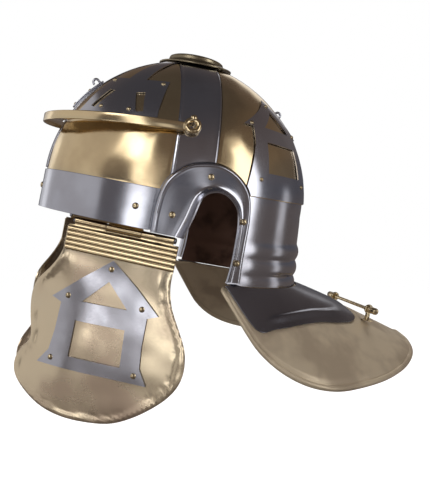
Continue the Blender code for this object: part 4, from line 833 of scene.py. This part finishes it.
for side, end in ((1, "left"), (-1, "right")):
    base = skull_point(-GUARD_END_DEG, GUARD_SIDE_HEIGHT)
    outward = Vector((base.x / HALF_WIDTH ** 2, base.y / HALF_LENGTH ** 2, 0.35 / HALF_WIDTH)).normalized()
    centre = base + outward * (GUARD_SIDE_REACH + 0.3 * GUARD_FACE_THICKNESS) + Vector((0.0, SCROLL_RADIUS, 0.0))
    up = outward.cross(Vector((0.0, 0.0, 1.0)).cross(outward).normalized())
    data = ring(mirrored(centre, side), mirrored(outward, side), SCROLL_RADIUS, SCROLL_WIRE)
    knob = bmesh.ops.create_icosphere(data, subdivisions=3, radius=SCROLL_KNOB)["verts"]
    for vert in knob:
        vert.co = in_world(mirrored(centre + up * 1.25 * SCROLL_RADIUS, side) + vert.co)
    finish_piece("brow_guard_scroll_" + end, data, "helmet", brass)

# Crest disc
# A hollow brass box on the crown, round, with a flat flange that follows the bowl. A crest is fixed to it.
DISC_Y = -0.0043
DISC_RADIUS = 0.0250
DISC_FLANGE_RADIUS = 0.0318
DISC_TOP = 0.0055
DISC_WALL = 0.0011
disc_seat = 2.2 * GAP + STRAP_THICKNESS + PLATE_THICKNESS + 0.0005


def disc_spot(turn, step):
    top = CROWN_HEIGHT + DISC_TOP
    rings = ((None, 0.0, -0.0006), (None, 0.45, -0.0006), (None, 0.80, -0.0005), (None, 0.86, -0.0002),
             (None, 0.90, 0.0), (None, 0.94, -0.0001), (None, 0.975, -0.0006), (None, 0.99, -0.0014),
             (None, 1.0, -0.0026), (None, 1.0, -0.0040), (disc_seat + DISC_WALL, 1.0, 0.0),
             (disc_seat + DISC_WALL, 1.03, 0.0),
             (disc_seat + DISC_WALL, DISC_FLANGE_RADIUS / DISC_RADIUS, 0.0),
             (disc_seat, DISC_FLANGE_RADIUS / DISC_RADIUS, 0.0))
    lift, share, drop = rings[step]
    x, y = share * DISC_RADIUS * math.cos(turn), DISC_Y + share * DISC_RADIUS * math.sin(turn)
    return dome_point(x, y, lift) if lift is not None else Vector((x, y, top + drop))


data = laid_grid(spread(0.0, 2.0 * math.pi, 72), list(range(14)), disc_spot)
bmesh.ops.remove_doubles(data, verts=data.verts, dist=1e-6)
face_towards(data, (0.0, DISC_Y, 0.12))
aged_brass = metal("aged_brass", (0.42, 0.36, 0.24), (0.22, 0.18, 0.12), 0.6, 0.22, 0.45, 0.30)
finish_piece("crest_disc_box", data, "helmet", aged_brass, ("crest_disc",), bevel=0.0003)

# Crest hooks
# A narrow steel foot riveted to the crest strap at front and rear, with a wire hook that a crest is tied to.
HOOK_WIRE = 0.0011
HOOK_BASE_WIDTH = 0.0060
HOOK_BASE_THICKNESS = 0.0016
HOOK_RISE = 0.0055
HOOK_BASE_LENGTH = 0.0210


def pipe(path, radius, around=10):
    """A round bar along a path, with closed ends."""
    path = [Vector(point) for point in path]
    frames = []
    across = None
    for index, point in enumerate(path):
        ahead = (path[min(index + 1, len(path) - 1)] - path[max(index - 1, 0)]).normalized()
        across = ahead.orthogonal() if across is None else across - ahead * across.dot(ahead)
        across.normalize()
        frames.append((point, across.copy(), ahead.cross(across)))

    def spot(turn, index):
        point, first, second = frames[index]
        return point + radius * (first * math.cos(turn) + second * math.sin(turn))

    data = laid_grid(spread(0.0, 2.0 * math.pi, around), list(range(len(path))), spot)
    bmesh.ops.remove_doubles(data, verts=data.verts, dist=1e-6)
    bmesh.ops.holes_fill(data, edges=[edge for edge in data.edges if edge.is_boundary], sides=0)
    bmesh.ops.recalc_face_normals(data, faces=data.faces)
    return data


for label, hook_y, onward in (("front", -0.0815, -1.0), ("rear", 0.0735, 1.0)):
    seat = 2.0 * GAP + STRAP_THICKNESS
    data = laid_grid(spread(-0.5 * HOOK_BASE_WIDTH, 0.5 * HOOK_BASE_WIDTH, 4), spread(0.0, HOOK_BASE_LENGTH, 20),
                     lambda x, run: dome_point(x, hook_y + onward * run, seat + HOOK_BASE_THICKNESS))
    face_towards(data, (0.0, 0.0, 0.03))
    finish_piece("crest_hook_foot_" + label, data, "helmet", steel, ("crest_hook_" + label,),
                 HOOK_BASE_THICKNESS, 0.0004)
    base = dome_point(0.0, hook_y + onward * 0.002, seat + 0.4 * HOOK_BASE_THICKNESS)
    outward = (dome_point(0.0, hook_y + onward * 0.002, seat + 0.01) - base).normalized()
    run = (dome_point(0.0, hook_y + onward * 0.01, seat) - dome_point(0.0, hook_y, seat)).normalized()
    path = [base]
    for turn in range(0, 201, 10):
        angle = math.radians(turn)
        path.append(base + outward * (HOOK_RISE - 0.0022 + 0.0026 * math.sin(angle))
                    + run * 0.0026 * (1.0 - math.cos(angle)))
    finish_piece("crest_hook_wire_" + label, pipe(path, HOOK_WIRE), "helmet", steel)
    places = []
    for share in (0.45, 0.92):
        spot = dome_point(0.0, hook_y + onward * HOOK_BASE_LENGTH * share, seat + HOOK_BASE_THICKNESS)
        places.append((spot, dome_point(0.0, spot.y, 0.05) - dome_point(0.0, spot.y, 0.0)))
    rivet_heads("crest_hook_rivets_" + label, "helmet", places, radius=0.0016, rise=0.0010)

# Ear guards
# An arch of steel round each ear: a rolled outer edge against the bowl, a flat with four brass rivets, and an
# inner edge that flares out to keep blows off the ear.
EAR_SHEET = 0.0012
EAR_BEAD_WIDTH = 0.0050
EAR_BEAD_RISE = 0.0024
EAR_FLARE = 0.0090
EAR_FLARE_WIDTH = 0.0050
EAR_RIVETS = (1, 5, 10, 12)

outer_edge = ear_edge(0, 0.0, 6)
inner_edge = ear_edge(2, 0.0, 6)
for side, end in ((1, "left"), (-1, "right")):
    def ear_path(index):
        width = (inner_edge[index] - outer_edge[index]).length
        flat_end = width - EAR_FLARE_WIDTH
        base = GAP + 0.5 * EAR_SHEET
        path = curve_through(((0.0, base), (0.18 * EAR_BEAD_WIDTH, base + 0.75 * EAR_BEAD_RISE),
                              (0.45 * EAR_BEAD_WIDTH, base + EAR_BEAD_RISE),
                              (EAR_BEAD_WIDTH, base + 0.72 * EAR_BEAD_RISE), (flat_end, base + 0.5 * EAR_BEAD_RISE),
                              (flat_end + 0.65 * EAR_FLARE_WIDTH, base + 0.40 * EAR_FLARE),
                              (flat_end + EAR_FLARE_WIDTH, base + EAR_FLARE)), 4)
        return path, width

    def ear_spot(step, index):
        inward = (inner_edge[index] - outer_edge[index]).normalized()
        path = ear_path(index)[0]
        spot = outer_edge[index] + inward * path[step].x
        return mirrored(Vector((wall_x(spot.x, spot.y) + path[step].y + 0.5 * EAR_SHEET, spot.x, spot.y)), side)

    data = laid_grid(list(range(25)), list(range(len(outer_edge))), ear_spot)
    face_towards(data, (0.0, EAR_CENTRE_Y, 0.02))
    finish_piece("ear_guard_arch_" + end, data, "helmet", steel, ("ear_guard_" + end,), EAR_SHEET, 0.0003)
    places = []
    for station in EAR_RIVETS:
        index = 6 * station
        width = ear_path(index)[1]
        inward = (inner_edge[index] - outer_edge[index]).normalized()
        spot = outer_edge[index] + inward * 0.5 * (EAR_BEAD_WIDTH + width - EAR_FLARE_WIDTH)
        x = wall_x(spot.x, spot.y) + GAP + EAR_SHEET + 0.60 * EAR_BEAD_RISE
        places.append((mirrored(Vector((x, spot.x, spot.y)), side), (side, 0.0, 0.1)))
    rivet_heads("ear_guard_rivets_" + end, "helmet", places)

# Neck guard
# A broad brass plate, dull from handling, that slopes down behind the neck. Its rim is rolled over a wire.
NECK_HALF_WIDTH = 0.1250
NECK_REACH = 0.2160
NECK_DROP = 0.0585
NECK_CORNER_Y = 0.0316
NECK_CORNER_Z = -0.0353
NECK_THICKNESS = 0.0013
NECK_BEAD_RADIUS = 0.0024
NECK_NAPE_DEG = 24.0
NECK_RIM = (
    # across: share of half width; back: share of the reach; down: share of the drop
    (0.000, 1.000, 0.365), (0.210, 0.985, 0.420), (0.415, 0.945, 0.530), (0.600, 0.860, 0.680),
    (0.765, 0.735, 0.830), (0.895, 0.592, 0.945), (0.970, 0.480, 1.000), (1.000, 0.368, 0.980),
    (0.975, 0.268, 0.880), (0.930, 0.182, 0.705), (0.885, 0.120, 0.490), (0.815, 0.000, 0.000))
dull_brass = metal("dull_brass", (0.68, 0.57, 0.41), (0.44, 0.35, 0.25), 0.75, 0.34, 0.55, 0.35, 26.0, 22.0, 0.45)

rim_half = curve_through(NECK_RIM, 8)


def neck_rim(share):
    """A point on the rim, from -1 at the right corner over the back to 1 at the left corner."""
    position = abs(share) * (len(rim_half) - 1)
    index = min(int(position), len(rim_half) - 2)
    across, reach, down = rim_half[index].lerp(rim_half[index + 1], position - index)
    return Vector((math.copysign(across, share) * NECK_HALF_WIDTH, NECK_CORNER_Y + reach * NECK_REACH,
                   NECK_CORNER_Z - down * NECK_DROP))


def neck_root(share):
    azimuth = 90.0 - share * (90.0 - NECK_NAPE_DEG)
    hem = nape_rise(math.radians(azimuth)) - NAPE_DROP
    point = skull_point(azimuth, hem, -0.5 * SKULL_WALL)
    return Vector((point.x, point.y, hem - GAP - NECK_THICKNESS))


def neck_point(share, reach, lift=0.0):
    """A point over the neck guard's underside; reach runs from the skull to the rim's roll."""
    root, rim = neck_root(share), neck_rim(share)
    reach = reach * (1.0 - 2.0 * NECK_BEAD_RADIUS / (rim - root).length)
    fall = reach ** (1.0 + 0.15 * math.cos(0.5 * math.pi * share) ** 2)
    return Vector((root.x + (rim.x - root.x) * reach, root.y + (rim.y - root.y) * reach,
                   root.z + (rim.z - root.z) * fall + lift))


NECK_STEPS = 18
ROLL_STEPS = 14


def neck_spot(step, share):
    """Once round the section: out over the top, round the rolled rim and back underneath."""
    if step > 2 * NECK_STEPS + ROLL_STEPS:
        step = 0
    if step <= NECK_STEPS:
        return neck_point(share, step / NECK_STEPS, NECK_THICKNESS)
    if step > NECK_STEPS + ROLL_STEPS:
        return neck_point(share, (2 * NECK_STEPS + ROLL_STEPS - step) / (NECK_STEPS - 1), 0.0)
    rim = neck_rim(share)
    inward = neck_root(share) - rim
    inward = Vector((inward.x, inward.y, 0.0)).normalized()
    angle = math.radians(155.0 - 310.0 * (step - NECK_STEPS) / (ROLL_STEPS + 1))
    centre = rim + inward * NECK_BEAD_RADIUS + Vector((0.0, 0.0, 0.5 * NECK_THICKNESS))
    return centre - inward * NECK_BEAD_RADIUS * math.cos(angle) + \
        Vector((0.0, 0.0, NECK_BEAD_RADIUS * math.sin(angle)))


data = laid_grid(list(range(2 * NECK_STEPS + ROLL_STEPS + 2)), spread(-1.0, 1.0, 120), neck_spot)
bmesh.ops.remove_doubles(data, verts=data.verts, dist=1e-6)
bmesh.ops.holes_fill(data, edges=[edge for edge in data.edges if edge.is_boundary], sides=0)
bmesh.ops.recalc_face_normals(data, faces=data.faces)
finish_piece("neck_guard_plate", data, "helmet", dull_brass, ("neck_guard",))

# Neck overlay
# A lobed steel plate over the front of the neck guard, with an embossed ridge near its edge.
OVERLAY_THICKNESS = 0.0010
OVERLAY_SETBACK = 0.0030
OVERLAY_EDGE = (
    # share along half the rim from the middle of the back; share of the way to the rim
    (0.00, 0.42), (0.10, 0.44), (0.19, 0.53), (0.26, 0.54), (0.33, 0.50), (0.45, 0.44), (0.60, 0.46),
    (0.74, 0.60), (0.84, 0.84), (1.00, 0.94))
dark_steel = metal("dark_steel", (0.30, 0.31, 0.36), (0.17, 0.17, 0.19), 0.4, 0.13, 0.30)
overlay_edge = curve_through([(share, edge, 0.0) for share, edge in OVERLAY_EDGE], 6)


def table_value(table, position):
    for low, high in zip(table, table[1:]):
        if position <= high[0]:
            return low[1] + (high[1] - low[1]) * max((position - low[0]) / (high[0] - low[0]), 0.0)
    return table[-1][1]


def overlay_spot(share_in, share):
    edge = table_value(overlay_edge, abs(share))
    begin = OVERLAY_SETBACK / (neck_rim(share) - neck_root(share)).length
    along = 1.0 - abs(abs(share) - 0.50) / 0.30
    across = 1.0 - abs(share_in - 0.76) / 0.13
    ridge = 0.0018 * smooth_step(across) * smooth_step(2.5 * along)
    return neck_point(share, begin + (edge - begin) * share_in,
                      NECK_THICKNESS + 1.8 * GAP + OVERLAY_THICKNESS + ridge)


data = laid_grid(spread(0.0, 1.0, 40), spread(-1.0, 1.0, 120), overlay_spot)
face_towards(data, (0.0, 0.12, -0.20))
finish_piece("neck_overlay_sheet", data, "helmet", dark_steel, ("neck_overlay",), OVERLAY_THICKNESS, 0.0002)

# Carrying handle
# A short brass bar behind the neck guard's overlay, held in two split-pin eyes and thickened outside them.
HANDLE_Y = 0.1925
HANDLE_Z = -0.0350
HANDLE_HALF_SPAN = 0.0365
HANDLE_WIRE = 0.0016
EYE_RADIUS = 0.0030
EYE_WIRE = 0.0014
EYE_STEM_RADIUS = 0.0021
EYE_FOOT = Vector((0.0060, 0.0090, 0.0010))
HANDLE_KNOB_RADIUS = 0.0031
HANDLE_KNOB_LENGTH = 0.0120


def turned(profile, place_point, steps=24):
    """A turned solid; profile is (radius, run) from one end on the axis to the other."""
    data = laid_grid(spread(0.0, 2.0 * math.pi, steps), list(range(len(profile))), lambda turn, index: place_point(
        profile[index][0] * math.cos(turn), profile[index][0] * math.sin(turn), profile[index][1]))
    bmesh.ops.remove_doubles(data, verts=data.verts, dist=1e-6)
    bmesh.ops.recalc_face_normals(data, faces=data.faces)
    return data


inner = HANDLE_HALF_SPAN + EYE_WIRE + GAP
outer = inner + HANDLE_KNOB_LENGTH
half = ((0.0, outer), (0.7 * HANDLE_KNOB_RADIUS, outer), (HANDLE_KNOB_RADIUS, outer - 0.0015),
        (HANDLE_KNOB_RADIUS, inner + 0.0005), (HANDLE_WIRE, inner), (HANDLE_WIRE, 0.0))
profile = list(half) + [(radius, -along) for radius, along in reversed(half[:-1])]
data = turned(profile, lambda u, v, along: Vector((along, HANDLE_Y + u, HANDLE_Z + v)))
finish_piece("carrying_handle_bar", data, "helmet", rivet_brass, ("carrying_handle",), bevel=0.0003)

def neck_height(x, y):
    """The height of the neck guard's top at this place in plan, found by searching its surface."""
    best = (1.0, 0.0)
    for share in spread(0.0, 1.0, 60):
        for reach in spread(0.0, 1.0, 40):
            point = neck_point(share, reach, NECK_THICKNESS)
            best = min(best, (math.hypot(point.x - abs(x), point.y - y), point.z))
    return best[1]


for side, end in ((1, "left"), (-1, "right")):
    x = side * HANDLE_HALF_SPAN
    foot_level = GAP + max(neck_height(x + i * 0.5 * EYE_FOOT.x, HANDLE_Y + j * 0.5 * EYE_FOOT.y)
                           for i in (-1, 1) for j in (-1, 1))
    data = ring((x, HANDLE_Y, HANDLE_Z), (1.0, 0.0, 0.0), EYE_RADIUS, EYE_WIRE)
    foot = bmesh.ops.create_cube(data, size=1.0)["verts"]
    middle = Vector((x, HANDLE_Y, foot_level + 0.5 * EYE_FOOT.z))
    for vert in foot:
        vert.co = in_world(middle + vert.co * EYE_FOOT)
    stem_top = HANDLE_Z - EYE_RADIUS + 0.0008
    stem = bmesh.ops.create_cone(data, cap_ends=True, segments=20, radius1=EYE_STEM_RADIUS,
                                 radius2=EYE_STEM_RADIUS, depth=stem_top - middle.z)["verts"]
    for vert in stem:
        vert.co = in_world(Vector((x, HANDLE_Y, 0.5 * (stem_top + middle.z))) + vert.co)
    finish_piece("handle_eye_pin_" + end, data, "helmet", rivet_brass, ("handle_eye_" + end,), bevel=0.0003)

# Cheek guards A brass plate each side, dished to the cheek and tucked in under the chin, with its edge rolled
# outwards and a groove inside the roll. It hangs from the ribbed band.
HINGE_FRONT = (0.0600, -0.0860)
HINGE_REAR = (0.0945, -0.0105)
HINGE_Z = -0.0045
PIN_RADIUS = 0.0012
HINGE_PLAY = 0.0005
HINGE_SHEET = 0.0011
HINGE_MIDDLE_SHARE = 0.35
BAND_DEPTH = 0.0240
BAND_OVERHANG = 0.0045
CHEEK_THICKNESS = 0.0011
CHEEK_BEAD = 0.0011
CHEEK_BEAD_WIDTH = 0.0042
CHEEK_HALF_LENGTH = 0.0660
CHEEK_HEIGHT = 0.1642
CHEEK_FRONT_TUCK = 0.0140
CHEEK_REAR_FLARE = 0.0050
CHEEK_CHIN_TUCK = 0.0100
CHEEK_LEAN_DEG = 2.5
CHEEK_TOP_GAP = 0.0048
CHEEK_DENT = 0.0006
CHEEK_OUTLINE = (
    # along: share of the half length; down: share of the height
    (-0.66, 0.00), (-0.66, 0.12), (-0.69, 0.17), (-0.785, 0.25), (-0.905, 0.325), (-0.93, 0.415), (-0.90, 0.51),
    (-0.845, 0.605), (-0.85, 0.655), (-0.95, 0.72), (-0.99, 0.795), (-0.96, 0.86), (-0.86, 0.91), (-0.67, 0.965),
    (-0.45, 0.995), (-0.155, 1.00), (0.16, 0.98), (0.365, 0.95), (0.595, 0.875), (0.805, 0.775), (0.93, 0.68),
    (0.965, 0.595), (0.935, 0.495), (0.865, 0.43), (0.76, 0.35), (0.68, 0.285), (0.63, 0.20), (0.625, 0.15),
    (0.625, 0.00))
cheek_brass = metal("cheek_brass", (0.78, 0.66, 0.47), (0.44, 0.31, 0.24), 0.60, 0.14, 0.34, 1.0, 16.0, 24.0, 0.86)

rim_brass = metal("rim_brass", (0.74, 0.63, 0.46), (0.50, 0.39, 0.28), 0.50, 0.36, 0.46, 0.0, 16.0, 24.0, 0.86)


def hinge_frame(side):
    """The hinge's middle, its direction towards the rear, and the outward direction across it."""
    front_end = Vector((HINGE_FRONT[0] * side, HINGE_FRONT[1], HINGE_Z))
    rear_end = Vector((HINGE_REAR[0] * side, HINGE_REAR[1], HINGE_Z))
    along = (rear_end - front_end).normalized()
    outward = (along.cross(Vector((0.0, 0.0, 1.0))) * side).normalized()
    return 0.5 * (front_end + rear_end), along, outward, (rear_end - front_end).length


def cheek_point(side, u, v, lift):
    """A point over the cheek guard's inside; u is measured along the helmet and v downwards."""
    middle, along, outward, length = hinge_frame(side)
    settle = smooth_step((v - BAND_DEPTH) / 0.035)
    tuck = max(-u - 0.10 * CHEEK_HALF_LENGTH, 0.0) / (0.9 * CHEEK_HALF_LENGTH)
    flare = max(u - 0.30 * CHEEK_HALF_LENGTH, 0.0) / (0.7 * CHEEK_HALF_LENGTH)
    chin = max(v - BAND_DEPTH, 0.0) / (CHEEK_HEIGHT - BAND_DEPTH)
    out = settle * (CHEEK_REAR_FLARE * flare ** 2 - CHEEK_FRONT_TUCK * tuck ** 2)
    out += lift - CHEEK_CHIN_TUCK * chin ** 1.6
    out += settle * CHEEK_DENT * smooth_noise(Vector((u * 34.0, v * 34.0, 3.0 + side)))
    lean = math.radians(CHEEK_LEAN_DEG)
    swing = out * math.cos(lean) - v * math.sin(lean)
    drop = out * math.sin(lean) + v * math.cos(lean)
    run = (u - outward.y * swing) / along.y
    return middle + along * run + outward * swing + Vector((0.0, 0.0, -drop))


cheek_points = [Vector((along * CHEEK_HALF_LENGTH, CHEEK_TOP_GAP + down * (CHEEK_HEIGHT - CHEEK_TOP_GAP)))
                for along, down in CHEEK_OUTLINE]
cheek_edge = [cheek_points[0]] + curve_through(cheek_points[1:-1], 6) + [cheek_points[-1]]
for _ in range(12):
    cheek_edge[2:-2] = [0.5 * point + 0.25 * (before + after) for before, point, after in
                        zip(cheek_edge[1:-3], cheek_edge[2:-2], cheek_edge[3:-1])]
edge_tree = KDTree(20 * len(cheek_edge))
for index, (first, second) in enumerate(zip(cheek_edge, cheek_edge[1:] + cheek_edge[:1])):
    for step in range(20):
        edge_tree.insert(first.lerp(second, step / 20.0).to_3d(), 20 * index + step)
edge_tree.balance()


def rolled_lift(depth):
    """How high the rolled edge and its groove stand over the sheet at this distance from the outline."""
    if depth < CHEEK_BEAD_WIDTH:
        share = depth / (0.5 * CHEEK_BEAD_WIDTH) - 1.0
        return 1.3 * CHEEK_BEAD * (1.0 - share * share)
    return -0.0008 * math.sin(math.pi * min((depth - CHEEK_BEAD_WIDTH) / 0.0015, 1.0))


for side, end in ((1, "left"), (-1, "right")):
    data = bmesh.new()
    face = data.faces.new([data.verts.new((point.x, point.y, 0.0)) for point in cheek_edge])
    for width in (0.0004, 0.0005, 0.0006, 0.0006, 0.0006, 0.0006, 0.0005, 0.0004,
                  0.00035, 0.0004, 0.0004, 0.00045):
        bmesh.ops.inset_region(data, faces=[face], thickness=width, use_even_offset=True)
    for face in score(data, [face], 0.003):
        face.material_index = 1
    for face in data.faces:
        face.material_index = 1 - face.material_index
    for vert in data.verts:
        depth = edge_tree.find(vert.co)[2]
        settled = smooth_step((vert.co.y - BAND_DEPTH) / 0.006)
        vert.co = in_world(cheek_point(side, vert.co.x, vert.co.y, CHEEK_THICKNESS + rolled_lift(depth) * settled))
    middle = hinge_frame(side)[0]
    face_towards(data, middle - hinge_frame(side)[2] * 0.2 - Vector((0.0, 0.0, 0.08)))
    plate = finish_piece("cheek_guard_plate_" + end, data, "cheek_" + end, cheek_brass,
                         ("cheek_guard_" + end,), CHEEK_THICKNESS)
    plate.data.materials.append(rim_brass)

# Cheek temples A steel plate cut like a small temple, with a gable and a doorway, riveted to the cheek guard
# with five rivets.
TEMPLE_HALF = 0.0430
TEMPLE_TOP = 0.0250
TEMPLE_HEIGHT = 0.0960
TEMPLE_ALONG = -0.0038
TEMPLE_TILT = 0.055
CHEEK_TEMPLE_OUTLINE = (
    # across, down
    (0.00, 0.00), (0.49, 0.19), (0.95, 0.395), (0.77, 0.43), (0.785, 0.68), (0.83, 0.865), (1.00, 1.00))
CHEEK_PEDIMENT = ((0.00, 0.18), (0.41, 0.39), (-0.41, 0.39))
CHEEK_WINDOW = ((-0.46, 0.56), (0.44, 0.56), (0.49, 0.885), (-0.46, 0.885))
CHEEK_RIVETS = ((0.00, 0.075), (0.66, 0.36), (-0.66, 0.36), (0.76, 0.93), (-0.76, 0.93))


def temple_flat(point):
    across = point[0] * TEMPLE_HALF
    return Vector((TEMPLE_ALONG + across, TEMPLE_TOP + point[1] * TEMPLE_HEIGHT - TEMPLE_TILT * across))


for side, end in ((1, "left"), (-1, "right")):
    lift = CHEEK_THICKNESS + GAP
    data = cut_sheet([temple_flat(point) for point in whole_outline(CHEEK_TEMPLE_OUTLINE)],
                     [[temple_flat(point) for point in hole] for hole in (CHEEK_PEDIMENT, CHEEK_WINDOW)], 0.003,
                     lambda u, v: cheek_point(side, u, v, lift + PLATE_THICKNESS))
    face_towards(data, hinge_frame(side)[0] - hinge_frame(side)[2] * 0.2 - Vector((0.0, 0.0, 0.08)))
    finish_piece("cheek_temple_sheet_" + end, data, "cheek_" + end, steel, ("cheek_temple_" + end,),
                 PLATE_THICKNESS)
    places = []
    for point in CHEEK_RIVETS:
        spot = temple_flat(point)
        top = cheek_point(side, spot.x, spot.y, lift + PLATE_THICKNESS)
        places.append((top, cheek_point(side, spot.x, spot.y, lift + 0.01) - top))
    rivet_heads("cheek_temple_rivets_" + end, "cheek_" + end, places, radius=0.0025, rise=0.0015)

# Cheek hinges Each guard hangs on a ribbed brass band, whose upper edge is curled round a steel pin. The
# middle knuckle belongs to a fixed leaf inside the brow.
KNUCKLE = PIN_RADIUS + HINGE_PLAY + 0.5 * HINGE_SHEET
RIBBED = 0.0190
RIB_COUNT = 5
RIB_HEIGHT = 0.0009

for side, end in ((1, "left"), (-1, "right")):
    middle, along, outward, length = hinge_frame(side)
    half_length = 0.5 * length
    path = []
    for turn in range(250, -31, -10):
        angle = math.radians(turn)
        path.append((KNUCKLE * math.cos(angle), KNUCKLE * math.sin(angle)))
    curl = len(path) - 1
    path += [(0.60 * KNUCKLE, -1.05 * KNUCKLE), (0.55 * KNUCKLE, -1.45 * KNUCKLE),
             (0.80 * KNUCKLE, -1.85 * KNUCKLE)]
    for index in range(8 * RIB_COUNT + 1):
        bump = RIB_HEIGHT * math.sin(math.pi * (index % 8) / 8.0) ** 0.8
        path.append((KNUCKLE + bump, -(BAND_DEPTH - RIBBED) - RIBBED * index / (8 * RIB_COUNT)))
    half = half_length + BAND_OVERHANG
    knuckle_gap = 0.5 * HINGE_MIDDLE_SHARE * length + GAP
    runs = [-half, -half_length, -knuckle_gap, knuckle_gap, half_length, half]
    lean = math.radians(CHEEK_LEAN_DEG)

    def band_spot(step, run):
        out, up = path[step]
        out += 0.5 * HINGE_SHEET
        swing = out * math.cos(lean) + up * math.sin(lean)
        rise = -out * math.sin(lean) + up * math.cos(lean)
        return middle + along * run + outward * swing + Vector((0.0, 0.0, rise))

    def curl_spot(step, run):
        out, up = path[step]
        scale = (KNUCKLE + 0.5 * HINGE_SHEET) / KNUCKLE
        swing = out * scale * math.cos(lean) + up * scale * math.sin(lean)
        rise = -out * scale * math.sin(lean) + up * scale * math.cos(lean)
        return middle + along * run + outward * swing + Vector((0.0, 0.0, rise))

    data = laid_grid(list(range(len(path))), runs,
                     lambda step, run: curl_spot(step, run) if step <= curl else band_spot(step, run))
    doomed = []
    local = TILT.inverted()
    for face in data.faces:
        centre = local @ face.calc_center_median() + Vector((0.0, 0.0, SEAT_HEIGHT)) - middle
        run = centre.dot(along)
        if centre.z > -KNUCKLE - 0.0012 and (abs(run) < knuckle_gap or abs(run) > half_length):
            doomed.append(face)
    bmesh.ops.delete(data, geom=doomed, context="FACES")
    bottom = middle - Vector((0.0, 0.0, 0.5 * BAND_DEPTH)) - outward * 0.05
    face_towards(data, bottom)
    finish_piece("cheek_hinge_sheet_" + end, data, "cheek_" + end, brass, ("cheek_hinge_band_" + end,),
                 HINGE_SHEET, 0.0002)

    pin_inner = half_length + GAP
    pin_outer = pin_inner + 0.0011
    head = PIN_RADIUS + HINGE_PLAY + 0.0007
    half = ((0.0, pin_outer), (0.7 * head, pin_outer), (head, pin_outer - 0.0004), (head, pin_inner),
            (PIN_RADIUS, pin_inner), (PIN_RADIUS, 0.0))
    profile = list(half) + [(radius, -run) for radius, run in reversed(half[:-1])]
    data = turned(profile, lambda u, v, run: middle + along * run + outward * u + Vector((0.0, 0.0, v)), 20)
    finish_piece("hinge_pin_rod_" + end, data, "helmet", dark_steel, ("hinge_pin_" + end,))

    leaf_path = [(KNUCKLE * math.cos(math.radians(turn)), KNUCKLE * math.sin(math.radians(turn)))
                 for turn in range(70, -181, -10)]
    rises = [0.0015, 0.0040, 0.0060, 0.0080, 0.0120, 0.0180, 0.0240]

    def leaf_spot(step, run):
        foot = middle + along * run
        if step < len(leaf_path):
            out, up = leaf_path[step]
            return foot + outward * out + Vector((0.0, 0.0, up))
        height = rises[step - len(leaf_path)]
        low, high = -KNUCKLE, 0.05
        for _ in range(30):
            reach = 0.5 * (low + high)
            spot = foot + outward * reach
            if math.hypot(spot.x / (HALF_WIDTH - SKULL_WALL), spot.y / (HALF_LENGTH - SKULL_WALL)) < 1.0:
                low = reach
            else:
                high = reach
        wall = low - 1.4 * GAP - 0.5 * HINGE_SHEET
        out = -KNUCKLE + (wall + KNUCKLE) * smooth_step((height - 0.0005) / 0.0090)
        return foot + outward * out + Vector((0.0, 0.0, height - HINGE_Z))

    half = 0.5 * HINGE_MIDDLE_SHARE * length
    data = laid_grid(list(range(len(leaf_path) + len(rises))), spread(-half, half, 6), leaf_spot)
    leaf = finish_piece("hinge_leaf_sheet_" + end, data, "helmet", brass, ("hinge_leaf_" + end,),
                        HINGE_SHEET, 0.0002)
    leaf.modifiers["wall"].offset = 0.0

for cutter in (ear_hole, ear_trim):
    bpy.data.objects.remove(cutter)
